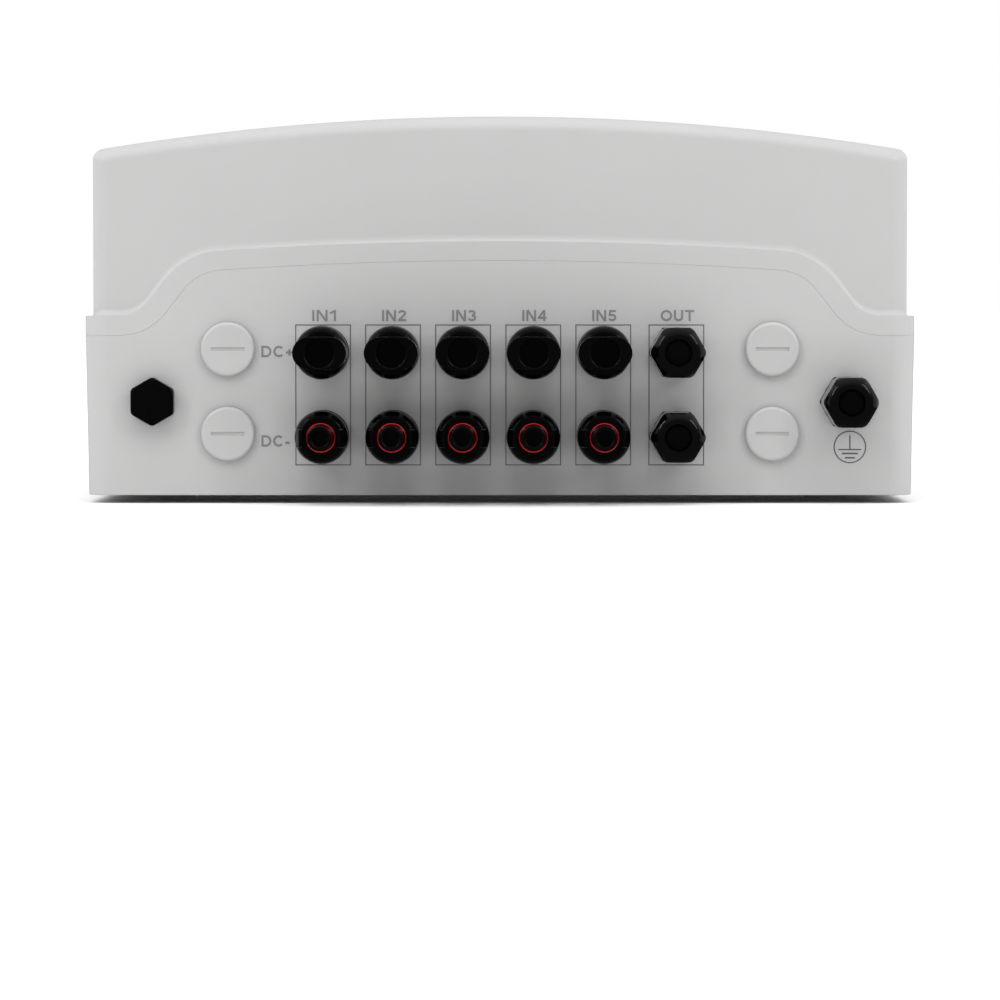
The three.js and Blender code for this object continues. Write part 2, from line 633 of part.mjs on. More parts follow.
const SPD = { x0: rowX, modules: 3, seatZ: 67.6 };
const SWITCH = { x0: rowX + 3 * MODULE, modules: 4, pivotZ: 97.6, drum: 8.5, lever: 22, swing: 36 };

function spdBase() {
  const { x0, modules, seatZ } = SPD;
  const x1 = x0 + modules * MODULE;
  const body = deviceBody(x0, x1, RAIL.y, DEVICE.noseZ - 6);
  const bay = box(x0 + 1, x1 - 1, RAIL.y - 20.5, RAIL.y + 20.5, seatZ, FAR);
  const entries = SIDES.flatMap((side) => terminalHoles(x0, x1, RAIL.y + side * DEVICE.halfY, 73.6));
  return cut(body, bay, ...entries);
}

// A plug-in varistor cartridge with a gripping waist.
function spdCartridge(i) {
  const x0 = SPD.x0 + 1 + i * ((SPD.modules * MODULE - 2) / SPD.modules);
  const x1 = x0 + (SPD.modules * MODULE - 2) / SPD.modules;
  const [low, high] = [SPD.seatZ + GAP, DEVICE.noseZ + 3];
  const profile = [
    [-20.2, low], [20.2, low], [20.2, high - 6], [18.2, high - 4], [18.2, high - 1], [17.2, high],
    [-17.2, high], [-18.2, high - 1], [-18.2, high - 4], [-20.2, high - 6],
  ];
  return alongX(profile.map(([py, pz]) => [RAIL.y + py, pz]), x0 + 0.2, x1 - 0.2);
}

function switchBody() {
  const { x0, modules, pivotZ, drum } = SWITCH;
  const x1 = x0 + modules * MODULE;
  const body = deviceBody(x0, x1, RAIL.y, DEVICE.noseZ);
  const pocket = bar("x", drum + 0.7, modules * MODULE - 12, [x0 + 6, RAIL.y, pivotZ]);
  const mouth = box(x0 + 6, x1 - 6, RAIL.y - drum - 0.7, RAIL.y + drum + 0.7, pivotZ, FAR);
  const dividers = [];
  for (let i = 1; i < modules; i++) {
    const x = x0 + i * MODULE;
    dividers.push(box(x - 0.4, x + 0.4, RAIL.y - 50, RAIL.y + 50, DEVICE.shoulderZ - 1.5, DEVICE.shoulderZ + 5));
  }
  const clear = box(x0 - 5, x1 + 5, RAIL.y - DEVICE.noseHalfY + 2, RAIL.y + DEVICE.noseHalfY - 2, 0, FAR);
  const grooves = dividers.map((d) => cut(d, clear));
  const entries = SIDES.flatMap((side) => terminalHoles(x0, x1, RAIL.y + side * DEVICE.halfY, 67.6));
  return cut(body, pocket, mouth, ...grooves, ...entries);
}

// The toggle bar across the four poles, at rest in the off position, leaning towards the connector end.
function switchHandle() {
  const { x0, modules, pivotZ, drum, lever, swing } = SWITCH;
  const length = modules * MODULE - 14;
  const roll = bar("x", drum, length, [x0 + 7, 0, 0]);
  const arm = alongX([[-3.2, 0], [3.2, 0], [2.4, lever], [-2.4, lever]], x0 + 14, x0 + 7 + length - 7);
  const toggle = join(roll, arm).rotate([swing, 0, 0]);
  return toggle.translate([0, RAIL.y, pivotZ]);
}

function earthBar() {
  let strip = box(119, 127, -180, -130, EARTH_BAR_Z, EARTH_BAR_Z + 10);
  for (let i = 0; i < 5; i++) {
    strip = cut(strip, bar("z", 2, 8, [123, -175 + i * 10, EARTH_BAR_Z + 5], 12));
  }
  return strip;
}

// ---------------------------------------------------------------- connectors, glands and plugs, made about +Y

// The part that both panel connectors share: threaded shank, flange and round body with a rounded shoulder.
function connectorBody() {
  const profile = [[0, -16], [6, -16], [6, GAP], [10.2, GAP], [10.2, 1.8], [9.9, 2.1], [10.3, 15]];
  const steps = 3;
  for (let i = 1; i <= steps; i++) {
    const angle = (Math.PI / 2) * (i / steps);
    profile.push([7.7 + 2.6 * Math.cos(angle), 15 + 5 * Math.sin(angle)]);
  }
  return turned([...profile, [0, 20]]);
}

// The positive input: a flattened cup that takes the plug's nose.
function connectorPlus() {
  const depth = 18.6;
  const cupGeometry = new THREE.ExtrudeGeometry(outline(stadium(20.4, 12.8)), { depth, bevelEnabled: false });
  const cup = solid(cupGeometry.rotateX(Math.PI / 2).translate(0, 37.6, 0));
  return cut(join(connectorBody(), cup), bar("y", 5.8, 20, [0, 22.5, 0]));
}

// The negative input: a round nose with a locking arm on each side.
function connectorMinus() {
  const nose = turned([[0, 18], [5.6, 18], [5.6, 22], [4.8, 22.5], [4.8, 35], [0, 35]], 12);
  const arms = SIDES.map((side) => {
    const profile = [[6.6, 18], [9.3, 18], [9.3, 28], [9.9, 29.5], [9.9, 30.5], [8.2, 33.5], [6.6, 33.5]];
    const geometry = new THREE.ExtrudeGeometry(outline(profile), { depth: 6.8, bevelEnabled: false });
    const arm = solid(geometry.translate(0, 0, -3.4));
    return side > 0 ? arm : arm.rotate([0, 180, 0]);
  });
  return cut(join(connectorBody(), nose, ...arms), bar("y", 3.1, 20, [0, 22, 0]));
}

function glandBody() {
  const hex = hexBar(19, GAP, 4.6, true);
  const shank = bar("y", 8, 12.5, [0, -12, 0]);
  const neck = bar("y", 7.2, 9, [0, 4.2, 0]);
  return cut(join(hex, shank, neck), bar("y", 4.9, 60, [0, -30, 0]));
}

// The gland's six-sided nut, domed towards the cable.
function glandNut() {
  const envelope = [[0, 5.3], [11, 5.3], [11, 17.5]];
  const steps = 3;
  for (let i = 1; i <= steps; i++) {
    const angle = (Math.PI / 2) * (i / steps);
    envelope.push([6.6 + 4.4 * Math.cos(angle), 17.5 + 6.3 * Math.sin(angle)]);
  }
  const nut = hexBar(19, 5.3, 24, true).intersect(turned([...envelope, [0, 23.8]], 18));
  return cut(nut, bar("y", 7.6, 9, [0, 5, 0]), bar("y", 4.9, 30, [0, 0, 0]));
}

function ventPlug() {
  const hex = hexBar(16.4, GAP, 7, false);
  const envelope = turned([[0, 0], [9.3, 0], [9.3, 5.2], [7.6, 7], [0, 7]], 18);
  return join(hex.intersect(envelope), bar("y", 6, 9.5, [0, -9, 0]));
}

function blankPlug() {
  const cap = turned([[0, -9], [8, -9], [8, GAP], [10.4, GAP], [10.4, 1.9], [9.6, 2.9], [0, 2.9]], 18);
  return cut(cap, box(-6.2, 6.2, 1.7, 5, -0.8, 0.8));
}

// ---------------------------------------------------------------- assembly

const combinerBox = new THREE.Group();
const enclosure = new THREE.Group();
const devices = new THREE.Group();
const entries = new THREE.Group();
combinerBox.add(enclosure, devices, entries);

function place(group, name, manifold, material) {
  const mesh = new THREE.Mesh(geometryOf(manifold), material);
  mesh.name = name;
  group.add(mesh);
}

place(enclosure, "base_box", baseBox(), PAINT.shell);
place(enclosure, "front_cover", frontCover(), PAINT.shell);
place(enclosure, "cover_gasket", sealRing(0, -2, 1.7), PAINT.rubber);
place(enclosure, "window", windowPane(), PAINT.tinted);
place(enclosure, "window_seal", windowSeal(), PAINT.rubber);
place(enclosure, "device_mask", deviceMask(), PAINT.device);
const END_NAMES = { "-1": "lower", 1: "upper" };
const SIDE_NAMES = { "-1": "left", 1: "right" };
for (const sy of SIDES) {
  place(enclosure, `hinge_pin_${END_NAMES[sy]}`, hingePin(sy), PAINT.zinc);
  place(enclosure, `latch_${END_NAMES[sy]}`, windowLatch(sy), PAINT.green);
  for (const sx of SIDES) {
    place(enclosure, `cover_screw_${END_NAMES[sy]}_${SIDE_NAMES[sx]}`, coverScrew(sx, sy), PAINT.shell);
  }
}

place(devices, "din_rail_lower", dinRail(-RAIL.y), PAINT.zinc);
place(devices, "din_rail_upper", dinRail(RAIL.y), PAINT.zinc);
for (let i = 0; i < STRINGS; i++) {
  const x0 = rowX + i * FUSE_WIDTH;
  place(devices, `fuse_holder_${i + 1}`, fuseHolder(x0), PAINT.device);
  place(devices, `fuse_carrier_${i + 1}`, fuseCarrier(x0), PAINT.carrier);
}
place(devices, "blank_strip_lower", blankStrip(rowX + STRINGS * FUSE_WIDTH, SLOT.halfX, FUSE_Y), PAINT.device);
const switchEnd = SWITCH.x0 + SWITCH.modules * MODULE;
place(devices, "blank_strip_upper", blankStrip(switchEnd, SLOT.halfX, RAIL.y), PAINT.device);
place(devices, "spd_base", spdBase(), PAINT.device);
for (let i = 0; i < SPD.modules; i++) place(devices, `spd_cartridge_${i + 1}`, spdCartridge(i), PAINT.cartridge);
place(devices, "switch_body", switchBody(), PAINT.device);
place(devices, "switch_handle", switchHandle(), PAINT.lever);
place(devices, "busbar_plus", busbar(BUSBAR_PLUS), PAINT.copper);
place(devices, "busbar_minus", busbar(BUSBAR_MINUS), PAINT.copper);
place(devices, "earth_bar", earthBar(), PAINT.brass);

for (let i = 0; i < STRINGS; i++) {
  place(entries, `pv_plus_${i + 1}`, seat(connectorPlus(), stringX(i), ROW_PLUS_Z), PAINT.black);
  place(entries, `pv_minus_${i + 1}`, seat(connectorMinus(), stringX(i), ROW_MINUS_Z), PAINT.black);
}
const GLANDS = { out_plus: [OUT_X, ROW_PLUS_Z], out_minus: [OUT_X, ROW_MINUS_Z], earth: [EARTH.x, EARTH.z] };
for (const [name, [x, z]] of Object.entries(GLANDS)) {
  place(entries, `gland_body_${name}`, seat(glandBody(), x, z), PAINT.black);
  place(entries, `gland_nut_${name}`, seat(glandNut(), x, z), PAINT.black);
}
place(entries, "vent_plug", seat(ventPlug(), VENT.x, VENT.z), PAINT.black);
for (const side of SIDES) {
  const name = SIDE_NAMES[side];
  place(entries, `blank_plug_${name}_upper`, seat(blankPlug(), side * PLUG.x, PLUG.upperZ), PAINT.shell);
  place(entries, `blank_plug_${name}_lower`, seat(blankPlug(), side * PLUG.x, PLUG.lowerZ), PAINT.shell);
  place(entries, `blank_plug_${name}_top_end`, seat(blankPlug(), side * PLUG.x, PLUG.topEndZ, true), PAINT.shell);
}

export default combinerBox;
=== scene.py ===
"""Finished look of the dc combiner box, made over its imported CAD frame.

Lengths are in millimetres in the frame's axes (+Z out of the wall, -Y the connector end), and become metres
where a mesh is made. Lengths read back from a mesh, the lights and the camera are in metres.
"""

import math

import bmesh
import bpy
from mathutils import Matrix, Vector


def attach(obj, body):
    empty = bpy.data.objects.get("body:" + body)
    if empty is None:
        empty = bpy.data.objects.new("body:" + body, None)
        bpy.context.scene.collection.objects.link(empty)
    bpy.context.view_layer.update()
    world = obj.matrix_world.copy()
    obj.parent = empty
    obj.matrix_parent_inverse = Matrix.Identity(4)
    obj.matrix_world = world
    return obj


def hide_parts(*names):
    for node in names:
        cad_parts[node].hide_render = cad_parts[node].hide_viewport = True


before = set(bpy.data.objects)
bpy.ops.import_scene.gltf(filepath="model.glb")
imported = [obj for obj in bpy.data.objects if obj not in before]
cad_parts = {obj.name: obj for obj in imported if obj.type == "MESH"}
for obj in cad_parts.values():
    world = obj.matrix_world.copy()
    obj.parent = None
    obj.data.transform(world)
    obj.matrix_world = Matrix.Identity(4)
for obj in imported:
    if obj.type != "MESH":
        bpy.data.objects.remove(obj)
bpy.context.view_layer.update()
MM = 0.001
FAR = 400  # past every surface of the box, for cutting solids
QUARTER = math.pi / 2
UPRIGHT = Matrix.Rotation(QUARTER, 4, "X")  # turns a piece made about +Y to stand along +Z

# ---------------------------------------------------------------- the enclosure's driving sizes

BASE = dict(half_x=160, half_y=225, corner=9.6, back=3.1, draft=1.1)
PLINTH = (119.5, 185.5)
WALL, FLANGE, SEAM, SPLIT_Z = 3.5, 7.5, 0.06, 64.6
COVER = dict(half_x=157, half_y=222.2, corner=6.6, wall=3.0, side=3.5, end=5.5)
# The cover's front is an arc of radius DOME_R across, with its middle at APEX.
APEX, DOME_R = 148.8, 950
# The flange's arch: a crown, a shoulder and a slope down to a foot on each side.
CROWN, ARCH_R, FOOT_X, SLOPE, FOOT_R, SHOULDER_R = 100.8, 1590, 138.9, math.radians(52.4), 14.5, 27
LEAN = 1.9  # how far the end walls come in from the parting line's feet to the crown
WINDOW_END, DECK_Z, WINDOW_LOW, PANE = 173.5, 121.6, 123.9, 2.6
HINGE, PIN_R = (-153.5, 126.1), 2.3
LATCH_X, LATCH_Y = 137.6, 70
THUMB, THUMB_SHIFT = 2.8, 5.5  # the thumb button's height over the window, its place off the slot's middle
SCREW, POST_R, PILLAR_R, SCREW_HOLE_R, HEAD_R = (141, 204), 7.5, 8, 3, 6.3
WALL_HOLE, WALL_HOLE_R = (132, 188), 3.25
SEAL_PATH = (156.3, 220.8)
SMALL_HOLE_R, LARGE_HOLE_R = 6.3, 8.3
RAIL_Y, MODULE, ROW_X = 62.5, 18, -108
ROW_PLUS, ROW_MINUS = 58.1, 25.8
STRINGS = [-68.1 + 26.95 * i for i in range(5)]
OUT_X, EARTH, VENT = 67.8, (133.6, 39.1), (-133.4, 39.2)
PLUG_X, PLUG_Z, PLUG_TOP_Z = 104.6, (59.3, 26.8), 62.6


# ---------------------------------------------------------------- materials


def set_range(node, *numbers):
    """Sets a Map Range node's two source and two target numbers."""
    for socket, number in zip(("From Min", "From Max", "To Min", "To Max"), numbers):
        node.inputs[socket].default_value = number


class Shader:
    """A Principled material with helpers for its procedural nodes."""

    def __init__(self, name, **sockets):
        self.material = bpy.data.materials.new(name)
        self.material.use_nodes = True
        self.nodes, self.links = self.material.node_tree.nodes, self.material.node_tree.links
        self.bsdf = self.nodes["Principled BSDF"]
        for socket, value in sockets.items():
            self.bsdf.inputs[socket.replace("_", " ")].default_value = value
        self.place = self.nodes.new("ShaderNodeTexCoord").outputs["Object"]

    def stretched(self, scale):
        mapping = self.nodes.new("ShaderNodeMapping")
        mapping.inputs["Scale"].default_value = scale
        self.links.new(self.place, mapping.inputs["Vector"])
        return mapping.outputs["Vector"]

    def noise(self, scale, detail, rough=0.55, vector=None):
        node = self.nodes.new("ShaderNodeTexNoise")
        node.inputs["Scale"].default_value = scale
        node.inputs["Detail"].default_value = detail
        node.inputs["Roughness"].default_value = rough
        self.links.new(vector or self.place, node.inputs["Vector"])
        return node.outputs["Fac"]

    def ramp(self, value, stops):
        node = self.nodes.new("ShaderNodeValToRGB")
        elements = node.color_ramp.elements
        while len(elements) < len(stops):
            elements.new(0.5)
        for element, (position, color) in zip(elements, stops):
            element.position = position
            element.color = (*color, 1) if len(color) == 3 else color
        self.links.new(value, node.inputs["Fac"])
        return node.outputs["Color"]

    def spread(self, value, low, high, out_low, out_high):
        node = self.nodes.new("ShaderNodeMapRange")
        set_range(node, low, high, out_low, out_high)
        self.links.new(value, node.inputs["Value"])
        return node.outputs["Result"]

    def bump(self, value, strength, distance, under=None):
        node = self.nodes.new("ShaderNodeBump")
        node.inputs["Strength"].default_value = strength
        node.inputs["Distance"].default_value = distance
        self.links.new(value, node.inputs["Height"])
        if under:
            self.links.new(under, node.inputs["Normal"])
        return node.outputs["Normal"]

    def to(self, output, socket):
        self.links.new(output, self.bsdf.inputs[socket])
        return self


def moulded(name, color, roughness, mottle, grain=5200, depth=0.25, coat=0.0, spread=0.07, level=0.5):
    """Injection-moulded plastic: a spark-eroded grain, slow colour drift, and polish that varies a little."""
    s = Shader(name, Roughness=roughness, Specular_IOR_Level=level, Coat_Weight=coat, Coat_Roughness=0.12)
    drift = s.noise(14, 4)
    dark = [c * (1 - mottle) for c in color]
    light = [min(1, c * (1 + mottle)) for c in color]
    s.to(s.ramp(drift, [(0.3, dark), (0.7, light)]), "Base Color")
    s.to(s.spread(s.noise(60, 5, 0.65), 0.3, 0.7, roughness - spread, roughness + spread), "Roughness")
    flow = s.bump(s.noise(26, 2), 0.10, 0.0006)
    return s.to(s.bump(s.noise(grain, 2, 0.6), depth, 0.00006, flow), "Normal").material


def metal(name, color, roughness):
    """Plated or bare metal with a drawn grain and patches where it has dulled."""
    s = Shader(name, Metallic=1.0, Roughness=roughness)
    dull = [c * 0.78 for c in color]
    s.to(s.ramp(s.noise(30, 6, 0.7), [(0.35, dull), (0.62, color)]), "Base Color")
    s.to(s.spread(s.noise(90, 4), 0.3, 0.7, roughness * 0.75, roughness * 1.5), "Roughness")
    drawn = s.stretched((40, 900, 900))
    return s.to(s.bump(s.noise(1.0, 2, 0.5, drawn), 0.12, 0.00005), "Normal").material


def smoked_glass():
    """Smoke-tinted polycarbonate: a tint that deepens with thickness, and faint flow lines."""
    s = Shader("smoked_window", Roughness=0.03, IOR=1.49, Transmission_Weight=0.93)
    s.to(s.ramp(s.noise(9, 3), [(0.3, (0.24, 0.27, 0.265)), (0.7, (0.28, 0.31, 0.305))]), "Base Color")
    s.to(s.spread(s.noise(45, 5, 0.7), 0.35, 0.75, 0.015, 0.06), "Roughness")
    return s.to(s.bump(s.noise(18, 2), 0.05, 0.0004), "Normal").material


def printed(name, color):
    """Screen-printed ink with slightly uneven cover."""
    s = Shader(name, Roughness=0.42)
    s.to(s.ramp(s.noise(140, 4, 0.6), [(0.3, [c * 0.94 for c in color]), (0.65, color)]), "Base Color")
    return s.to(s.bump(s.noise(2600, 2), 0.15, 0.00003), "Normal").material


SHELL = moulded("shell", (0.455, 0.455, 0.453), 0.36, mottle=0.012, depth=0.2)
SHELL_SMOOTH = moulded("shell_smooth", (0.455, 0.455, 0.453), 0.32, mottle=0.012, depth=0.1, grain=3000)
DEVICE = moulded("device_white", (0.62, 0.62, 0.60), 0.42, mottle=0.02)
CARRIER = moulded("carrier_grey", (0.33, 0.345, 0.355), 0.44, mottle=0.03)
BLACK = moulded(
    "black_plastic", (0.0014, 0.0014, 0.0015), 0.26, mottle=0.2, depth=0.3, grain=4200, level=0.05
)
BLACK_SATIN = moulded(
    "black_nylon", (0.0009, 0.0009, 0.001), 0.1, mottle=0.2, depth=0.04, spread=0.02, level=0.09
)
BLACK_GLOSS = moulded(
    "black_polished", (0.0008, 0.0008, 0.0009), 0.07, mottle=0.2, depth=0.03, spread=0.015, level=0.19
)
RUBBER = moulded(
    "rubber", (0.0014, 0.0014, 0.0014), 0.6, mottle=0.15, depth=0.4, grain=2600, spread=0.1, level=0.02
)
GREEN = moulded("latch_green", (0.004, 0.17, 0.018), 0.32, mottle=0.05, coat=0.2)
GREEN_DARK = moulded("latch_body", (0.012, 0.07, 0.025), 0.4, mottle=0.08)
GRIP = moulded("latch_grip", (0.45, 0.46, 0.46), 0.35, mottle=0.02, coat=0.2)
RED = moulded("red_seal", (0.58, 0.005, 0.012), 0.34, mottle=0.06)
ZINC = metal("zinc", (0.62, 0.63, 0.65), 0.28)
COPPER = metal("copper", (0.76, 0.40, 0.24), 0.26)
BRASS = metal("brass", (0.70, 0.54, 0.27), 0.28)
SMOKED = smoked_glass()
INK = printed("legend_ink", (0.20, 0.20, 0.205))
INK_LINE = printed("line_ink", (0.10, 0.10, 0.103))
INK_BLUE = printed("device_ink", (0.06, 0.09, 0.16))
YELLOW = printed("label_yellow", (0.72, 0.58, 0.06))

# ---------------------------------------------------------------- mesh building


def sharpen(mesh):
    mesh.shade_smooth()
    mesh.set_sharp_from_angle(angle=math.radians(32))


def make(name, verts, faces):
    """A mesh object from millimetre points."""
    mesh = bpy.data.meshes.new(name)
    mesh.from_pydata([Vector(v) * MM for v in verts], [], faces)
    obj = bpy.data.objects.new(name, mesh)
    bpy.context.scene.collection.objects.link(obj)
    edit(obj, lambda bm: bmesh.ops.recalc_face_normals(bm, faces=bm.faces))
    sharpen(mesh)
    return obj


def edit(obj, step):
    bm = bmesh.new()
    bm.from_mesh(obj.data)
    step(bm)
    bm.to_mesh(obj.data)
    bm.free()


def apply_modifiers(obj):
    evaluated = obj.evaluated_get(bpy.context.evaluated_depsgraph_get())
    mesh = bpy.data.meshes.new_from_object(evaluated)
    obj.modifiers.clear()
    obj.data = mesh
    return obj


def boolean(obj, tools, operation="DIFFERENCE"):
    """Cuts or joins by one or more tools, which are used up."""
    tools = tools if isinstance(tools, (list, tuple)) else [tools]
    for tool in tools:
        m = obj.modifiers.new("cut", "BOOLEAN")
        m.operation, m.object, m.solver = operation, tool, "MANIFOLD"
        apply_modifiers(obj)
        bpy.data.objects.remove(tool)
    return obj


def merge_close(bm):
    """Removes faces with no area, which cuts and bevels leave behind."""
    bmesh.ops.remove_doubles(bm, verts=bm.verts, dist=1e-6)
    bmesh.ops.dissolve_degenerate(bm, edges=bm.edges, dist=1e-6)


def bevelled(obj, width, segments=2, angle=30, where=None):
    """Rounds the edges sharper than an angle, or those that where(edge) picks."""

    def step(bm):
        bmesh.ops.remove_doubles(bm, verts=bm.verts, dist=2e-6)
        bmesh.ops.dissolve_degenerate(bm, edges=bm.edges, dist=1e-6)
        bmesh.ops.dissolve_limit(bm, angle_limit=math.radians(0.05), verts=bm.verts, edges=bm.edges)
        limit = math.radians(angle)
        edges = [
            e for e in bm.edges
            if len(e.link_faces) == 2 and e.calc_face_angle(0) > limit and (where is None or where(e))
        ]
        bmesh.ops.bevel(
            bm, geom=edges, offset=width * MM, segments=segments, profile=0.5, affect="EDGES",
            clamp_overlap=True,
        )
        merge_close(bm)
        bmesh.ops.recalc_face_normals(bm, faces=bm.faces)

    edit(obj, step)
    return obj


def box(name, x0, x1, y0, y1, z0, z1, bevel=0.0):
    corners = [(x, y, z) for z in (z0, z1) for y in (y0, y1) for x in (x0, x1)]
    faces = [(0, 2, 3, 1), (4, 5, 7, 6), (0, 1, 5, 4), (2, 6, 7, 3), (0, 4, 6, 2), (1, 3, 7, 5)]
    obj = make(name, corners, faces)
    return bevelled(obj, bevel) if bevel else obj


def prism(name, points, axis, a, b, bevel=0.0):
    """An outline swept along an axis: XZ along y, YZ along x, XY along z."""
    depth = {"x": 0, "y": 1, "z": 2}[axis]
    place = lambda p, d: (*p[:depth], d, *p[depth:])
    n = len(points)
    verts = [place(p, a) for p in points] + [place(p, b) for p in points]
    faces = [tuple(range(n)), tuple(range(2 * n - 1, n - 1, -1))]
    faces += [(i, (i + 1) % n, n + (i + 1) % n, n + i) for i in range(n)]
    obj = make(name, verts, faces)
    return bevelled(obj, bevel) if bevel else obj


def circle(radius, steps):
    turns = [2 * math.pi * k / steps for k in range(steps)]
    return [(radius * math.cos(t), radius * math.sin(t)) for t in turns]


def lathe(name, profile, steps=64):
    """Turns [radius, y] points about the Y axis. Points at radius 0 become poles."""
    verts, rows = [], []
    for r, y in profile:
        if r < 1e-6:
            rows.append([len(verts)] * steps)
            verts.append((0, y, 0))
            continue
        rows.append(list(range(len(verts), len(verts) + steps)))
        verts += [(u, y, v) for u, v in circle(r, steps)]
    faces = []
    for a, b in zip(rows, rows[1:]):
        for k in range(steps):
            face = [a[k], a[(k + 1) % steps], b[(k + 1) % steps], b[k]]
            face = [v for i, v in enumerate(face) if v not in face[:i]]
            if len(face) > 2:
                faces.append(face)
    return make(name, verts, faces)


def arc(cx, cy, r, a0, a1, steps, ry=None):
    """Points on an arc, angles in degrees from the first axis."""
    turns = [math.radians(a0 + (a1 - a0) * i / steps) for i in range(steps + 1)]
    return [(cx + r * math.cos(t), cy + (ry or r) * math.sin(t)) for t in turns]


def stadium(length, height, steps=16):
    d = (length - height) / 2
    return arc(d, 0, height / 2, -90, 90, steps) + arc(-d, 0, height / 2, 90, 270, steps)


def rod(name, axis, radius, a, b, centre, steps=40):
    return prism(name, [(centre[0] + u, centre[1] + v) for u, v in circle(radius, steps)], axis, a, b)


def put(obj, x=0, y=0, z=0, turn=None):
    m = Matrix.Translation(Vector((x, y, z)) * MM)
    obj.data.transform(m @ turn if turn else m)
    return obj


def coated(obj, material, name=None):
    """Finishes a piece: its name, one material, its sharp edges and weighted normals."""
    if name:
        obj.name = name
    obj.data.materials.clear()
    obj.data.materials.append(material)
    edit(obj, merge_close)
    sharpen(obj.data)
    m = obj.modifiers.new("normals", "WEIGHTED_NORMAL")
    m.keep_sharp = True
    return obj


def own(obj, body, slot, *nodes):
    """Rides a piece on a body, in place of the CAD nodes that it details."""
    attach(obj, body)
    if nodes:
        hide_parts(*nodes)
    return obj


def twin(obj, name):
    other = obj.copy()
    other.data = obj.data.copy()
    other.name = name
    bpy.context.scene.collection.objects.link(other)
    return other


# ---------------------------------------------------------------- lofted shells


def dome(x, apex=APEX):
    return apex - DOME_R + math.sqrt(DOME_R**2 - x * x)


def half_ring(half_x, half_y, corner, in_x=0.0, in_y=0.0, end_steps=56):
    """The -Y half of a rounded rectangle, as (x, y, how far round the corner)."""
    corner_steps = 10

    def turn(side, i):
        t = QUARTER * i / corner_steps
        x = half_x - corner + (corner - in_x) * math.cos(t)
        y = half_y - corner + (corner - in_y) * math.sin(t)
        return (side * x, -y, i / corner_steps)

    points = [turn(-1, i) for i in range(corner_steps + 1)]
    along = [(half_x - corner) * (2 * i / end_steps - 1) for i in range(1, end_steps)]
    points += [(x, -(half_y - in_y), 1.0) for x in along]
    points += [turn(1, i) for i in range(corner_steps, -1, -1)]
    return points


def loft(name, rings):
    """A closed solid through -Y half rings with a z on each point, mirrored for the +Y half."""
    half = len(rings[0])
    n = half * 2
    verts = []
    for ring in rings:
        verts += [(x, y, z) for x, y, z in ring] + [(x, -y, z) for x, y, z in reversed(ring)]
    faces = []
    for a in range(0, (len(rings) - 1) * n, n):
        b = a + n
        faces += [(a + i, a + (i + 1) % n, b + (i + 1) % n, b + i) for i in range(n)]
    for first, flip in ((0, True), ((len(rings) - 1) * n, False)):
        for i in range(half - 1):
            a, b, c, d = first + i, first + i + 1, first + n - 2 - i, first + n - 1 - i
            faces.append((a, d, c, b) if flip else (a, b, c, d))
    return make(name, verts, faces)


def block(name, levels, corner):
    """A block with rounded vertical corners, from (z, half_x, half_y) levels."""
    rings = []
    for z, half_x, half_y in levels:
        rings.append([(x, y, z) for x, y, _ in half_ring(half_x, half_y, corner, end_steps=1)])
    return loft(name, rings)


def domed_block(name, half_x, half_y, corner, apex, side, end, z0):
    """A block from z0 up to the domed front, its top edges rounded by side and end."""
    steps = 7
    rings = [[(x, y, z0) for x, y, _ in half_ring(half_x, half_y, corner)]]
    for k in range(steps + 1):
        t = QUARTER * k / steps
        shrink, drop = 1 - math.cos(t), 1 - math.sin(t)
        ring = half_ring(half_x, half_y, corner, side * shrink, end * shrink)
        rings.append([(x, y, dome(x, apex) - drop * (side + (end - side) * u)) for x, y, u in ring])
    return loft(name, rings)


def arch_line(below):
    """The flange's top line in X and Z, moved down by below along its own normal."""
    fine = 12
    shoulder_z = SPLIT_Z + FLANGE
    foot = (FOOT_X + FOOT_R * math.tan(SLOPE / 2), shoulder_z + FOOT_R)
    arc_z = CROWN - ARCH_R
    reach = ARCH_R - SHOULDER_R
    s, c = math.sin(SLOPE), math.cos(SLOPE)
    start = (FOOT_X - SHOULDER_R * s, shoulder_z - SHOULDER_R * c)
    along, step = 0.0, 16.0
    while step > 1e-4:
        if math.hypot(start[0] - (along + step) * c, start[1] + (along + step) * s - arc_z) < reach:
            along += step
        step /= 2
    shoulder = (start[0] - along * c, start[1] + along * s)
    lean = math.atan2(shoulder[0], shoulder[1] - arc_z)
    half = []
    for i in range(fine + 1):
        t, r = SLOPE * i / fine, FOOT_R + below
        half.append((foot[0] - r * math.sin(t), foot[1] - r * math.cos(t)))
    for i in range(fine + 1):
        t, r = SLOPE + (lean - SLOPE) * i / fine, SHOULDER_R - below
        half.append((shoulder[0] + r * math.sin(t), shoulder[1] + r * math.cos(t)))
    for i in range(1, 2 * fine + 1):
        t, r = lean * (1 - i / (2 * fine)), ARCH_R - below
        half.append((r * math.sin(t), arc_z + r * math.cos(t)))
    left = [(-x, z) for x, z in reversed(half[:-1])]
    return [(FAR, half[0][1])] + half + left + [(-FAR, half[0][1])]


def under_arch(below):
    return prism("under", [(-FAR, -FAR), (FAR, -FAR)] + arch_line(below), "y", -FAR, FAR)


def outer_block(top):
    b = BASE
    levels = [
        (b["back"], b["half_x"] - b["draft"] - 0.45, b["half_y"] - 0.45),
        (b["back"] + 0.15, b["half_x"] - b["draft"] - 0.12, b["half_y"] - 0.12),
        (b["back"] + 0.5, b["half_x"] - b["draft"], b["half_y"]),
        (SPLIT_Z, b["half_x"], b["half_y"]),
        (top, b["half_x"], b["half_y"] - LEAN * (top - SPLIT_Z) / (CROWN + 1 - SPLIT_Z)),
    ]
    return block("outer", levels, b["corner"])


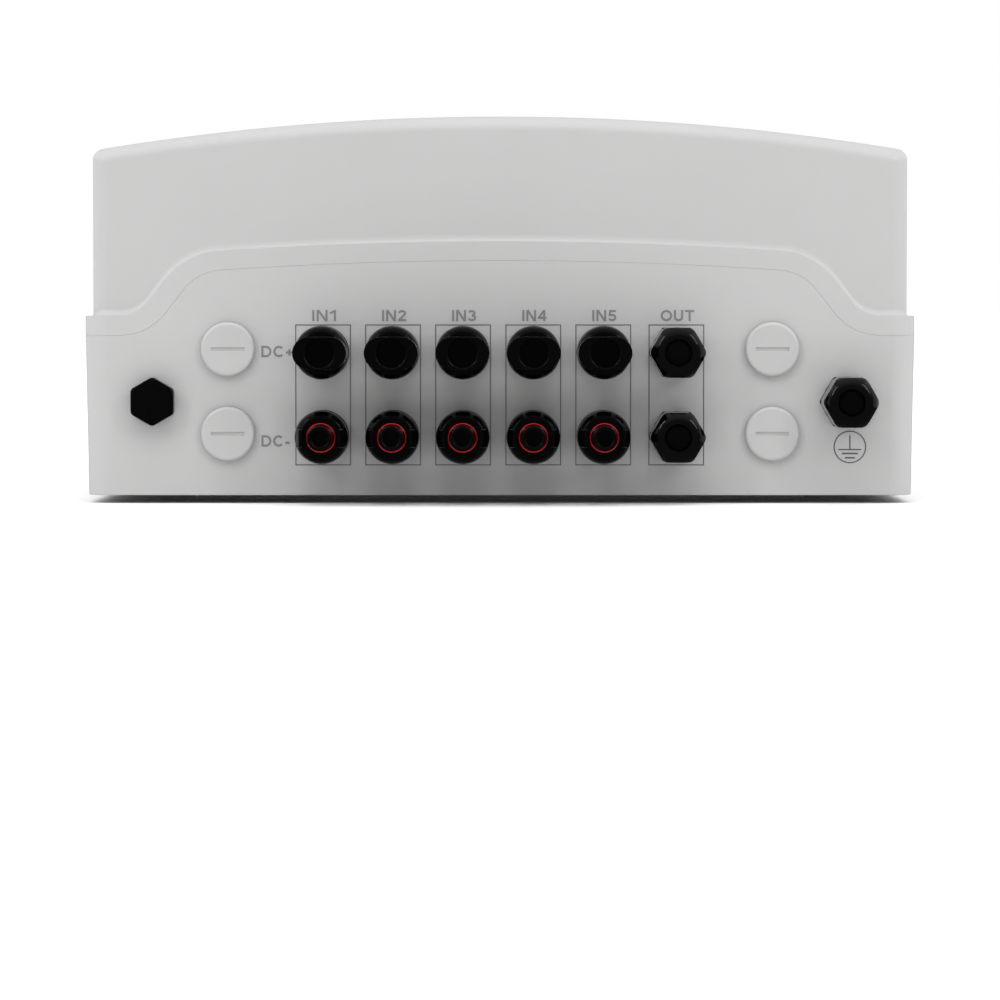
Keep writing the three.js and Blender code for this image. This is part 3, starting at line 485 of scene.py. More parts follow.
def face_y(z):
    """The connector end's outer face, which leans in over the parting line."""
    return -(BASE["half_y"] - LEAN * max(0, z - SPLIT_Z) / (CROWN + 1 - SPLIT_Z))


# ---------------------------------------------------------------- enclosure

def seal_ring():
    """The ring that is cut for the sealing cord, between two heights over the parting line."""

    def ring(grow, corner):
        half_x, half_y = SEAL_PATH[0] + grow, SEAL_PATH[1] + grow
        return block("ring", [(40, half_x, half_y), (112, half_x, half_y)], corner)

    body = boolean(ring(1.2, 6), ring(-1.2, 4.2))
    boolean(body, under_arch(FLANGE - 2), "INTERSECT")
    return boolean(body, under_arch(FLANGE + 2.3))


def on_skin(e):
    """True for an edge on the enclosure's outer skin."""
    return all(abs(v.co.x) > 0.158 or abs(v.co.y) > 0.2225 for v in e.verts)


def base_shell():
    hx, hy, corner = BASE["half_x"], BASE["half_y"], BASE["corner"]
    floor = BASE["back"] + WALL
    shell = boolean(outer_block(CROWN + 1), under_arch(FLANGE), "INTERSECT")
    cavity = block("cavity", [(floor, hx - WALL, hy - WALL), (FAR, hx - WALL, hy - WALL)], corner - WALL)
    boolean(cavity, under_arch(FLANGE + 8), "INTERSECT")
    mouth = block("mouth", [(floor, hx - 6, hy - 6), (FAR, hx - 6, hy - 6)], 3.6)
    boolean(shell, [cavity, mouth])
    pad = block("pad", [(0, PLINTH[0] - 0.4, PLINTH[1] - 0.4), (0.4, *PLINTH), (floor, *PLINTH)], 0.6)
    boolean(shell, pad, "UNION")
    for sx in (-1, 1):
        for sy in (-1, 1):
            x, y = sx * SCREW[0], sy * SCREW[1]
            boolean(shell, rod("post", "z", POST_R, floor - 0.5, SPLIT_Z, (x, y)), "UNION")
            boolean(shell, rod("pilot", "z", SCREW_HOLE_R, 45.6, 90, (x, y), steps=32))
            x, y = sx * 100, sy * RAIL_Y
            boolean(shell, box("rail_post", x - 9, x + 9, y - 7, y + 7, floor - 1, 36.8), "UNION")
            place = (sx * WALL_HOLE[0], sy * WALL_HOLE[1])
            boolean(shell, rod("fixing", "z", WALL_HOLE_R, -5, 15, place, steps=32))
    boolean(shell, box("earth_post", 118, 128, -182, -128, floor - 1, 25.7), "UNION")
    boolean(shell, seal_ring())
    small = [(x, z) for x in STRINGS for z in (ROW_PLUS, ROW_MINUS)] + [VENT]
    large = [(OUT_X, ROW_PLUS), (OUT_X, ROW_MINUS), EARTH]
    holes = [(*place, SMALL_HOLE_R, -hy) for place in small]
    holes += [(*place, LARGE_HOLE_R, -hy) for place in large]
    for x in (-PLUG_X, PLUG_X):
        holes += [(x, z, LARGE_HOLE_R, y) for z, y in ((PLUG_Z[0], -hy), (PLUG_Z[1], -hy), (PLUG_TOP_Z, hy))]
    boolean(shell, [rod("drill", "y", r, y - 15, y + 15, (x, z)) for x, z, r, y in holes])
    return bevelled(shell, 0.15, 2, 40, lambda e: on_skin(e) and min(v.co.z for v in e.verts) > 0.0638)


def ledge_fillets():
    """The fillet from the cover's end walls out to the flange's top line, at the feet and over each arch."""
    high, steps = 2.8, 8
    curve = [(1 - math.sin(t), 1 - math.cos(t)) for t in (QUARTER * k / steps for k in range(steps + 1))]
    cy, foot = COVER["half_y"], SPLIT_Z + FLANGE
    proud = lambda z: -face_y(z) - cy - 0.01
    half_x = COVER["half_x"] - 0.01
    levels = [(foot - 2, half_x, cy + 1.5)]
    levels += [(foot + high * h, half_x, cy + proud(foot) * p) for p, h in curve]
    solids = [block("fillet", levels, COVER["corner"])]
    inner = lambda below: arch_line(below)[1:-1]
    along = [(x, proud(z)) for x, z in inner(0)]
    for s in (-1, 1):
        rows = [[(x, s * (cy + out - 0.3), z) for (x, z), (_, out) in zip(inner(1), along)]]
        for p, h in curve:
            rows.append([(x, s * (cy + out * p), z) for (x, z), (_, out) in zip(inner(-high * h), along)])
        rows.append([(x, s * (cy - 1.5), z) for x, z in inner(-high)])
        rows.append([(x, s * (cy - 1.5), z) for x, z in inner(1)])
        n, m = len(along), len(rows)
        faces = []
        for a, b in zip(range(0, m * n, n), [*range(n, m * n, n), 0]):
            faces += [(a + i, a + i + 1, b + i + 1, b + i) for i in range(n - 1)]
        caps = [tuple(j * n for j in range(m)), tuple(j * n + n - 1 for j in reversed(range(m)))]
        solids.append(make("fillet", [v for row in rows for v in row], faces + caps))
    return solids


def cover_shell():
    c, w = COVER, COVER["wall"]
    body = domed_block("cover", c["half_x"], c["half_y"], c["corner"], APEX, c["side"], c["end"], 50)
    flange = boolean(outer_block(CROWN + 8), under_arch(0), "INTERSECT")
    boolean(body, flange, "UNION")
    for solid in ledge_fillets():
        boolean(body, solid, "UNION")
    boolean(body, under_arch(FLANGE - SEAM))
    # Hollow, but for the deck under the window and the trough's walls.
    hollow = domed_block("hollow", c["half_x"] - w, c["half_y"] - w, c["corner"] - w, APEX - w, 2, 3, 40)
    boolean(hollow, box("deck", -FAR, FAR, -176, 176, 119.1, FAR))
    boolean(hollow, box("trough_walls", 135.5, FAR, -100.5, 100.5, 111.1, FAR))
    boolean(body, hollow)
    bay = box("bay", -FAR, FAR, -WINDOW_END, WINDOW_END, DECK_Z, FAR)
    dish = block("dish", [(100, 128, 160), (130, 128, 160)], 3)
    trough = box("trough", 138, 154, -98, 98, 113.6, 130)
    boolean(body, [bay, dish, trough])

    def inside(solid):
        """Trims a solid to just under the cover's outer skin."""
        skin = domed_block("skin", c["half_x"] - 1, c["half_y"] - 1, c["corner"] - 1, APEX - 1, 2.5, 4, 40)
        return boolean(solid, skin, "INTERSECT")

    for s in (-1, 1):
        span = lambda a, b: sorted((s * a, s * b))
        y0 = s * 98.5
        rib = [(y0, 120.6), (s * 106, 120.6), (s * 101, 133.4), (y0, 133.4)]
        boolean(body, prism("rib", rib, "x", 141, 151.5), "UNION")
        catch = box("catch", 128.6, 137.4, *span(31, 36.5), 120.6, 133.6, bevel=0.5)
        boolean(catch, box("bore", 129.9, 136.1, -FAR, FAR, 126, 132))
        boolean(body, catch, "UNION")
        ends = span(WINDOW_END + 0.01, WINDOW_END + 9.5)
        boss = box("boss", -FAR, HINGE[0] + 5.5, *ends, 119.1, HINGE[1] + 5.5)
        boolean(body, inside(boss), "UNION")
        ends = span(WINDOW_END - 2, WINDOW_END + 8.5)
        boolean(body, rod("pinhole", "y", PIN_R, *ends, HINGE, steps=32))
        for sx in (-1, 1):
            place = (sx * SCREW[0], s * SCREW[1])
            boolean(body, inside(rod("pillar", "z", PILLAR_R, SPLIT_Z + 0.4, 150, place)), "UNION")
            boolean(body, rod("counterbore", "z", HEAD_R, 130.6, 160, place, steps=56))
            boolean(body, rod("shaft", "z", SCREW_HOLE_R, 40, 140, place, steps=32))
    boolean(body, seal_ring())

    # The edges to round, by where they are in metres.
    def bay_rim(e):
        ends = all(abs(abs(v.co.y) - WINDOW_END * MM) < 3e-5 and v.co.z > 0.1225 for v in e.verts)
        sides = all(abs(v.co.z - DECK_Z * MM) < 3e-5 and abs(v.co.x) > 0.1565 for v in e.verts)
        return (ends and any(v.co.z > 0.1365 or abs(v.co.x) > 0.1565 for v in e.verts)) or sides

    def off_screw(v):
        return math.hypot(abs(v.co.x) - SCREW[0] * MM, abs(v.co.y) - SCREW[1] * MM)

    def screw_rim(e):
        return all(abs(off_screw(v) - HEAD_R * MM) < 8e-5 and v.co.z > 0.133 for v in e.verts)

    bevelled(body, 0.2, 2, 40, lambda e: on_skin(e) and max(v.co.z for v in e.verts) < 0.1025)
    bevelled(body, 0.4, 2, 40, bay_rim)
    return bevelled(body, 0.4, 2, 40, screw_rim)


own(coated(base_shell(), SHELL, "base_shell"), "housing", "shell", "base_box")
own(coated(cover_shell(), SHELL, "cover_shell"), "housing", "shell", "front_cover")


def screw():
    profile = [(0, 47.6), (1.2, 47.6), (2.7, 50.6), (2.7, 130.9), (5.7, 130.9), (6, 131.2)]
    profile += arc(5.2, 135.8, 0.8, 0, 90, 4) + [(0, 136.6)]
    body = lathe("screw", profile, steps=48)
    boolean(body, box("slot", -4.4, 4.4, 134.8, 140, -0.8, 0.8))
    bevelled(body, 0.15, 2, 50, lambda e: min(v.co.y for v in e.verts) > 0.1345)
    return put(body, turn=UPRIGHT)


for sx, side in ((-1, "left"), (1, "right")):
    for sy, end in ((-1, "lower"), (1, "upper")):
        piece = put(screw(), sx * SCREW[0], sy * SCREW[1], 0)
        piece = coated(piece, SHELL_SMOOTH, f"screw_{end}_{side}")
        own(piece, "housing", "shell", f"cover_screw_{end}_{side}")

# ---------------------------------------------------------------- window and latches


def window_pane():
    c, thick = COVER, PANE
    pane = domed_block("pane", c["half_x"], c["half_y"], c["corner"], APEX, c["side"], c["end"], 50)
    inner = domed_block("inner", c["half_x"] - thick, c["half_y"] - thick, 4, APEX - thick, 2, 3, 40)
    boolean(pane, inner)
    end = WINDOW_END - 0.3
    boolean(pane, box("region", -FAR, FAR, -end, end, WINDOW_LOW, FAR), "INTERSECT")
    for s in (-1, 1):
        boolean(pane, rod("knuckle", "y", 3.5, *sorted((s * end, s * (end - 8))), HINGE), "UNION")
        ends = sorted((s * (end + 0.2), s * (end - 7)))
        boolean(pane, rod("bore", "y", PIN_R, *ends, HINGE, steps=32))
        slot = [(LATCH_X - v, s * LATCH_Y + u) for u, v in stadium(34, 23)]
        boolean(pane, prism("slot", slot, "z", 127, 152))

    def rim(e):
        slot = lambda v: 0.125 < v.co.x < 0.1495 and 0.052 < abs(v.co.y) < 0.088
        ends = all(abs(abs(v.co.y) - end * MM) < 2e-5 and v.co.x > -0.149 for v in e.verts)
        low = all(abs(v.co.z - WINDOW_LOW * MM) < 2e-5 and v.co.x > 0 for v in e.verts)
        return ends or low or all(slot(v) for v in e.verts)

    return bevelled(pane, 0.3, 2, 50, rim)


own(coated(window_pane(), SMOKED, "window_pane"), "window", "smoked_window", "window")


def rest_lip(s):
    """A narrow ledge along one end of the bay, which the shut window rests over."""
    xs = [-140 + 280 * i / 40 for i in range(41)]
    top = [(x, dome(x) - PANE - 0.7) for x in xs]
    outline = top + [(x, z - 2.2) for x, z in reversed(top)]
    a, b = sorted((s * 168.9, s * (WINDOW_END + 0.4)))
    return prism("lip", outline, "y", a, b, bevel=0.3)


for s, end in ((-1, "lower"), (1, "upper")):
    own(coated(rest_lip(s), SHELL, f"window_rest_{end}"), "housing", "shell")
    body = f"latch_{end}"
    span = lambda a, b: sorted((s * a, s * b))
    slide = box("slide", 130.5, 135.5, *span(40, 98), 126.6, 131.4, bevel=0.4)
    plate = box("plate", 126.5, 150.6, *span(51, 98), 128.9, 132.8, bevel=0.6)
    boolean(slide, plate, "UNION")
    own(coated(slide, GREEN_DARK, f"latch_slide_{end}"), body, "latch_green", body)
    # The light grey thumb button, which stands over the window and has ridges across its top.
    y = s * (LATCH_Y + THUMB_SHIFT)
    button = rod("button", "z", 10.3, 131, 152, (LATCH_X, y), steps=72)
    over = lambda x, lift: (x, dome(x) + lift)
    left, right = LATCH_X - 20, LATCH_X + 20
    crown = [(left, 100), (right, 100), over(right, THUMB), over(left, THUMB)]
    boolean(button, prism("crown", crown, "y", -FAR, FAR), "INTERSECT")
    bevelled(button, 0.9, 4, 50, lambda e: min(v.co.z for v in e.verts) > 0.134)
    for k in (-2, -1, 0, 1, 2):
        middle, half = y + k * 2.7, 7.6 - abs(k) * 0.9
        near, far = LATCH_X - half, LATCH_X + half
        groove = [over(near, THUMB - 1.2), over(far, THUMB - 1.2), (far, 152), (near, 152)]
        boolean(button, prism("groove", groove, "y", middle - 0.5, middle + 0.5))
    own(coated(button, GRIP, f"latch_button_{end}"), body, "carrier_grey")
    # The bright green flag beside the button, low enough to slide under the window.
    y0, y1 = span(53.6, 64.6)
    xs = [128.4 + 18.4 * i / 8 for i in range(9)]
    outline = [(xs[0], 132), (xs[-1], 132)] + [(x, dome(x) - PANE - 0.5) for x in reversed(xs)]
    flag = prism("flag", outline, "y", y0, y1, bevel=0.4)
    own(coated(flag, GREEN, f"latch_flag_{end}"), body, "latch_green")

# ---------------------------------------------------------------- connectors, glands and plugs
# Each is made about +Y, with y = 0 at the wall that it is seated on.


def threaded(radius, depth, y0, turns):
    """The profile of a thread at a 1.5 mm pitch, from y0 outwards."""
    rows = [y0 + 1.5 * k for k in range(turns)]
    return [point for y in rows for point in ((radius, y), (radius - depth, y + 0.5), (radius, y + 1))]


def connector_body():
    profile = [(0, -16), (5.6, -16), (6, -15.6)] + threaded(6, 0.45, -15, 9)
    profile += [(6, 0.3), (10.0, 0.3), (10.2, 0.5), (10.2, 1.6), (9.9, 2.0), (10.3, 14.2)]
    profile += arc(7.7, 15, 2.6, 0, 90, 10, 5) + [(0, 20)]
    return lathe("body", profile, steps=72)


def connector_plus():
    body = connector_body()
    cup = prism("cup", stadium(20.4, 12.3, 20), "y", 19, 37.6)
    bevelled(cup, 0.2, 3, 50, lambda e: min(v.co.y for v in e.verts) > 0.037)
    boolean(body, cup, "UNION")
    rim = arc(6.2, 36.8, 0.8, 180, 90, 8)
    boolean(body, lathe("bore", [(0, 22.5), (5.4, 22.5)] + rim + [(6.2, 40), (0, 40)], steps=64))
    for s in (-1, 1):
        a, b = sorted((s * 9, s * 11))
        boolean(body, box("notch", a, b, 26.5, 32.5, -2.6, 2.6))
    return body


def connector_minus():
    body = connector_body()
    nose = [(0, 18), (5.6, 18), (5.6, 22), (4.8, 22.4), (4.8, 34.2)]
    nose += arc(4.2, 34.4, 0.6, 0, 90, 5) + [(0, 35)]
    boolean(body, lathe("nose", nose, steps=56), "UNION")
    for s in (-1, 1):
        outline = [(6.6, 18), (8.6, 18), (8.6, 28), (9.1, 29.5), (9.1, 30.5), (7.9, 33.5), (6.6, 33.5)]
        arm = prism("arm", [(s * x, y) for x, y in outline], "z", -3.4, 3.4, bevel=0.35)
        boolean(body, arm, "UNION")
    rim = arc(3.75, 34.2, 0.8, 180, 90, 6)
    return boolean(body, lathe("bore", [(0, 22), (2.95, 22)] + rim + [(3.75, 40), (0, 40)], steps=48))


def red_ring():
    ring = lathe("ring", arc(5.36, 22.3, 0.24, 0, 360, 14), steps=64)
    edit(ring, lambda bm: bmesh.ops.remove_doubles(bm, verts=bm.verts, dist=1e-6))
    return ring


def hex_prism(flats, y0, y1, turn, edge=0.6):
    """A hexagonal bar, its long edges rounded."""
    bar = prism("hex", arc(0, 0, flats / math.sqrt(3), turn, turn + 300, 5), "y", y0, y1)
    upright = lambda e: abs(e.verts[0].co.y - e.verts[1].co.y) > 1e-4
    return bevelled(bar, edge, 4, 30, upright)


def gland_body():
    envelope = [(0, 0), (10.4, 0), (10.8, 1.4), (10.8, 4), (10.2, 4.7), (0, 4.7)]
    body = boolean(hex_prism(19, 0.9, 4.6, 0), lathe("e", envelope), "INTERSECT")
    profile = [(0, -12), (7.5, -12), (8, -11.5)] + threaded(8, 0.5, -11, 7)
    profile += [(8, 0.3), (9.6, 0.3), (9.6, 1.2), (7.2, 1.2), (7.2, 13.2), (0, 13.2)]
    boolean(body, lathe("neck", profile, steps=56), "UNION")
    return boolean(body, rod("bore", "y", 4.9, -30, 30, (0, 0)))


def gland_nut():
    envelope = [(0, 5.3), (10.4, 5.3), (10.95, 5.9), (10.95, 17.0)]
    envelope += arc(6.6, 17.5, 4.4, 0, 84, 12, 6.3) + [(6.6, 23.8), (0, 23.8)]
    nut = boolean(hex_prism(19, 5.3, 24, 0, 1.4), lathe("e", envelope, steps=96), "INTERSECT")
    boolean(nut, rod("hollow", "y", 7.6, 5, 14, (0, 0)))
    bore = [(0, 0), (4.9, 0), (4.9, 23.3), (5.3, 23.9), (5.3, 30), (0, 30)]
    return boolean(nut, lathe("bore", bore, steps=56))


def gland_insert():
    profile = [(0, 14), (4.85, 14), (4.85, 22.6)] + arc(0, 22.6, 4.85, 0, 90, 8, 0.7)[1:-1] + [(0, 23.3)]
    return lathe("insert", profile, steps=48)


def vent_plug():
    hexagon = hex_prism(16.4, 0.3, 7, 90, 0.9)
    envelope = [(0, 0), (9.0, 0), (9.3, 0.5), (9.3, 5.4)] + arc(8.1, 5.8, 1.2, 0, 90, 6) + [(0, 7)]
    body = boolean(hexagon, lathe("e", envelope, steps=96), "INTERSECT")
    shank = lathe("shank", [(0, -9), (5.6, -9), (6, -8.5), (6, 1), (0, 1)], steps=48)
    return boolean(body, shank, "UNION")


def blank_plug():
    profile = [(0, -9), (7.6, -9), (8, -8.5), (8, 0.3), (10.2, 0.3), (10.4, 0.5), (10.4, 1.8)]
    profile += arc(9.2, 1.7, 1.2, 0, 90, 8) + [(0, 2.9)]
    cap = lathe("cap", profile, steps=96)
    boolean(cap, box("slot", -6.3, 6.3, 2.35, 5, -0.6, 0.6))
    at_slot = lambda v: v.co.y > 0.0028 and abs(v.co.z) < 0.0008 and abs(v.co.x) < 0.0064
    in_slot = lambda e: all(at_slot(v) for v in e.verts)
    return bevelled(cap, 0.25, 3, 50, in_slot)


def seated(proto, name, x, z, material, slot, node=None, top_end=False):
    """A copy of a piece made about +Y, seated on the connector end or the far end."""
    piece = twin(proto, name)
    if top_end:
        put(piece, x, BASE["half_y"], z)
    else:
        put(piece, x, -BASE["half_y"], z, Matrix.Rotation(math.pi, 4, "Z"))
    return own(coated(piece, material, name), "housing", slot, *([node] if node else []))


plus, minus, ring = connector_plus(), connector_minus(), red_ring()
for i, x in enumerate(STRINGS):
    n = i + 1
    seated(plus, f"panel_plus_{n}", x, ROW_PLUS, BLACK_SATIN, "black_plastic", f"pv_plus_{n}")
    seated(minus, f"panel_minus_{n}", x, ROW_MINUS, BLACK_SATIN, "black_plastic", f"pv_minus_{n}")
    seated(ring, f"panel_minus_ring_{n}", x, ROW_MINUS, RED, "rubber")
hex_body, nut, insert = gland_body(), gland_nut(), gland_insert()
for name, x, z in (("out_plus", OUT_X, ROW_PLUS), ("out_minus", OUT_X, ROW_MINUS), ("earth", *EARTH)):
    seated(hex_body, f"entry_body_{name}", x, z, BLACK, "black_plastic", f"gland_body_{name}")
    seated(nut, f"entry_nut_{name}", x, z, BLACK_GLOSS, "black_plastic", f"gland_nut_{name}")
    seated(insert, f"entry_seal_{name}", x, z, RUBBER, "rubber")
vent, cap = vent_plug(), blank_plug()
seated(vent, "vent", *VENT, BLACK, "black_plastic", "vent_plug")
for s, side in ((-1, "left"), (1, "right")):
    x, node = s * PLUG_X, f"blank_plug_{side}"
    seated(cap, f"plug_{side}_upper", x, PLUG_Z[0], SHELL, "shell", f"{node}_upper")
    seated(cap, f"plug_{side}_lower", x, PLUG_Z[1], SHELL, "shell", f"{node}_lower")
    seated(cap, f"plug_{side}_far", x, PLUG_TOP_Z, SHELL, "shell", f"{node}_top_end", True)
for proto in (plus, minus, ring, hex_body, nut, insert, vent, cap):
    bpy.data.objects.remove(proto)

# ---------------------------------------------------------------- devices behind the window


def refined(node, name, material, slot, width, body="housing"):
    """The CAD node's own solid with its edges rounded."""
    piece = twin(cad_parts[node], name)
    piece.matrix_world = Matrix.Identity(4)
    for key in list(piece.keys()):
        del piece[key]
    bevelled(piece, width, 2, 35)
    return own(coated(piece, material), body, slot, node)


refined("device_mask", "panel_mask", DEVICE, "device_white", 0.6)
for end in ("lower", "upper"):
    refined(f"blank_strip_{end}", f"filler_{end}", DEVICE, "device_white", 0.25)
    refined(f"din_rail_{end}", f"rail_{end}", ZINC, "zinc", 0.25)
for n in range(1, 6):
    refined(f"fuse_holder_{n}", f"holder_{n}", DEVICE, "device_white", 0.3)
    refined(f"fuse_carrier_{n}", f"drawer_{n}", CARRIER, "carrier_grey", 0.4)
refined("spd_base", "arrester_base", DEVICE, "device_white", 0.3)
for n in range(1, 4):
    refined(f"spd_cartridge_{n}", f"arrester_{n}", CARRIER, "carrier_grey", 0.4)
refined("switch_body", "isolator", DEVICE, "device_white", 0.3)
refined("switch_handle", "isolator_toggle", BLACK, "black_plastic", 0.5, "switch_handle")
for pole in ("plus", "minus"):
    refined(f"busbar_{pole}", f"comb_{pole}", COPPER, "copper", 0.15)
refined("earth_bar", "earth_strip", BRASS, "brass", 0.2)
refined("window_seal", "edge_seal", RUBBER, "rubber", 0.5)

CARRIED = {"cover_gasket": RUBBER, "hinge_pin_lower": ZINC, "hinge_pin_upper": ZINC}
for node, look in CARRIED.items():
    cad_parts[node].data.materials.clear()
    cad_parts[node].data.materials.append(look)

# ---------------------------------------------------------------- printed marks


def solid_sheet(front, placed, thick):
    """A thin closed solid over 2-D faces, laid on a surface by placed(u, v, lift)."""
    points, faces = front
    n = len(points)
    verts = [placed(u, v, thick) for u, v in points] + [placed(u, v, -0.02) for u, v in points]
    edges = {}
    for f in faces:
        for a, b in zip(f, f[1:] + f[:1]):
            edges[(a, b)] = edges.get((a, b), 0) + 1
    walls = [(a, b, b + n, a + n) for a, b in edges if (b, a) not in edges]
    backs = [[i + n for i in reversed(f)] for f in faces]
    return make("sheet", verts, faces + backs + walls)


def sheet(name, front, placed, material, thick=0.06, slot="black_plastic"):
    return own(coated(solid_sheet(front, placed, thick), material, name), "housing", slot)


def hoop(outer, inner):
    n = len(outer)
    return outer + inner, [[i, (i + 1) % n, n + (i + 1) % n, n + i] for i in range(n)]


def bar(u0, u1, v0, v1):
    return [(u0, v0), (u1, v0), (u1, v1), (u0, v1)], [[0, 1, 2, 3]]


def several(*fronts):
    points, faces = [], []
    for p, f in fronts:
        faces += [[i + len(points) for i in face] for face in f]
        points += p
    return points, faces


def stroke(points, width, closed):
    """A mitred strip along a centre line, as an outline for a prism, or a hoop if it is closed."""
    n = len(points)
    left, right = [], []
    for i, (u, v) in enumerate(points):
        before, after = points[i - 1], points[(i + 1) % n]
        if not closed and i == 0:
            before = (2 * u - after[0], 2 * v - after[1])
        if not closed and i == n - 1:
            after = (2 * u - before[0], 2 * v - before[1])
        a = math.atan2(v - before[1], u - before[0])
        b = math.atan2(after[1] - v, after[0] - u)
        half = (b - a + math.pi) % (2 * math.pi) / 2 - math.pi / 2
        reach, turn = width / 2 / math.cos(half), a + half + math.pi / 2
        left.append((u + reach * math.cos(turn), v + reach * math.sin(turn)))
        right.append((u - reach * math.cos(turn), v - reach * math.sin(turn)))
    if closed:
        return hoop(right, left)
    return left + right, [[i, n + i, n + i + 1, i + 1] for i in range(n - 1)]


STEM = 0.19


def glyph(letter):
    """Strokes and width of a plain bold capital, digit or sign one unit high."""
    h = STEM / 2
    curve = lambda cu, cv, ru, rv, a0, a1, steps=14: arc(cu, cv, ru, a0, a1, steps, rv)
    line = lambda *points: (list(points), False)
    return {
        "I": ([line((h, 0), (h, 1))], STEM),
        "N": ([line((h, 0), (h, 1)), line((0.7, 0), (0.7, 1)), line((0.11, 1), (0.685, 0))], 0.7 + h),
        "T": ([line((0, 1 - h), (0.76, 1 - h)), line((0.38, 0), (0.38, 1 - h))], 0.76),
        "U": ([line((h, 1), *curve(0.38, 0.36, 0.38 - h, 0.36 - h, 180, 360), (0.76 - h, 1))], 0.76),
        "O": ([(curve(0.47, 0.5, 0.47 - h, 0.5 - h, 0, 360, 28)[:-1], True)], 0.94),
        "D": ([([(h, h), *curve(0.39, 0.5, 0.44 - h, 0.5 - h, -90, 90), (h, 1 - h)], True)], 0.83),
        "C": ([line(*curve(0.46, 0.5, 0.46 - h, 0.5 - h, 44, 316, 22))], 0.88),
        "+": ([line((0, 0.42), (0.56, 0.42)), line((0.28, 0.14), (0.28, 0.70))], 0.56),
        "-": ([line((0, 0.34), (0.34, 0.34))], 0.34),
        "1": ([line((0.37, 0), (0.37, 1)), line((0.04, 0.70), (0.36, 0.92))], 0.37 + h),
        "2": (
            [line(*curve(0.33, 0.70, 0.235, 0.205, 172, -30), (0.12, 0.13)), line((0.02, h), (0.66, h))],
            0.66,
        ),
        "3": (
            [
                line(*curve(0.31, 0.725, 0.215, 0.18, 165, -90)),
                line(*curve(0.32, 0.3, 0.245, 0.205, 90, -165)),
            ],
            0.66,
        ),
        "4": (
            [line((0.5, 0), (0.5, 1)), line((0, 0.29), (0.68, 0.29)), line((0.46, 0.93), (0.07, 0.3))],
            0.68,
        ),
        "5": (
            [
                line((0.14, 1 - h), (0.61, 1 - h)),
                line((0.17, 0.96), (0.12, 0.46)),
                line(*curve(0.32, 0.33, 0.24, 0.235, 128, -160)),
            ],
            0.66,
        ),
    }[letter]


def lettering(name, text, width, height, placed, material):
    """A short text as one thin closed solid, its strokes joined, centred and laid on a surface."""
    shapes = [glyph(c) for c in text]
    gap, thick = 0.14, 0.06
    stretch = (width / height - gap * (len(text) - 1)) / sum(w for _, w in shapes)
    start, whole = -width / 2, None
    for strokes, advance in shapes:
        advance *= stretch
        for points, closed in strokes:
            line = [(start + u * stretch * height, (v - 0.5) * height) for u, v in points]
            front = stroke(line, STEM * height, closed)
            flat = solid_sheet(front, lambda u, v, lift: (u, v, lift), 0.5)
            whole = boolean(whole, flat, "UNION") if whole else flat
        start += (advance + gap) * height
    for v in whole.data.vertices:
        v.co = Vector(placed(v.co.x / MM, v.co.y / MM, thick if v.co.z > 0 else -0.02)) * MM
    return own(coated(whole, material, name), "housing", "black_plastic")


def on_end(x, z):
    return lambda u, v, lift: (x + u, face_y(z + v) - lift, z + v)


def frame_marks(width, low, high, line):
    def rect(inset):
        w, z0, z1 = width / 2 - inset, low + inset, high - inset
        return [(-w, z0), (w, z0), (w, SPLIT_Z), (w, z1), (-w, z1), (-w, SPLIT_Z)]

    return hoop(rect(0), rect(line))


columns = [(f"IN{i + 1}", x, 9.4) for i, x in enumerate([-68.0, -41.1, -14.2, 12.8, 39.7])]
for text, x, width in columns + [("OUT", OUT_X, 13.0)]:
    sheet(f"mark_frame_{text}", frame_marks(21.4, 14.6, 68.8, 0.38), on_end(x, 0), INK_LINE)
    lettering(f"mark_{text}", text, width, 4.3, on_end(x + 0.4, 72.2), INK)
lettering("mark_plus", "DC+", 12.2, 4.4, on_end(-85.7, 58.4), INK)
lettering("mark_minus", "DC-", 10.8, 4.4, on_end(-86.4, 24.0), INK)
rings = lambda outer, inner: hoop(circle(outer, 56), circle(inner, 56))
earth = several(
    rings(6.3, 5.82),
    bar(-0.25, 0.25, -0.74, 4.5),
    bar(-4.4, 4.4, -1.25, -0.75),
    bar(-3.1, 3.1, -2.85, -2.2),
    bar(-1.95, 1.95, -4.5, -3.85),
)
sheet("mark_earth", earth, on_end(134.6, 21.7), INK_LINE)

# A plain yellow label on the front, past the window's far end.
xs = [-32 + 64 * i / 16 for i in range(17)]
label = ([(x, y) for y in (178, 197) for x in xs], [[i, i + 1, 18 + i, 17 + i] for i in range(16)])
sheet("label_plain", label, lambda u, v, lift: (u, v, dome(u) + lift), YELLOW, 0.15, "shell")

# Marks on the devices.
top = lambda x, y, z: (lambda u, v, lift: (x + u, y + v, z + lift))
for i in range(5):
    x = ROW_X + MODULE * (2 * i + 1)
    lettering(f"number_{i + 1}", str(i + 1), 2.6, 4.2, top(x - 9, -68, 102.1), INK_BLUE)
    lens = [(0, -0.5), (1.6, -0.5)] + arc(0.9, 0.3, 0.7, 0, 90, 4) + [(0, 1.0)]
    lens = lathe("lens", lens, steps=32)
    put(lens, x + 9, -68, 102.1, UPRIGHT)
    own(coated(lens, RED, f"lens_{i + 1}"), "housing", "rubber")
for i in range(3):
    x = ROW_X + 1 + (i + 0.5) * 52 / 3
    pane = box("pane", x - 2.4, x + 2.4, RAIL_Y + 6.5, RAIL_Y + 11, 107.2, 107.9, bevel=0.2)
    own(coated(pane, GREEN, f"arrester_flag_{i + 1}"), "housing", "latch_green")
    lines = several(bar(-4, 4, -0.3, 0.3), bar(-4, 4, -2.3, -1.7))
    sheet(f"arrester_mark_{i + 1}", lines, top(x, RAIL_Y - 6, 107.6), INK_BLUE)
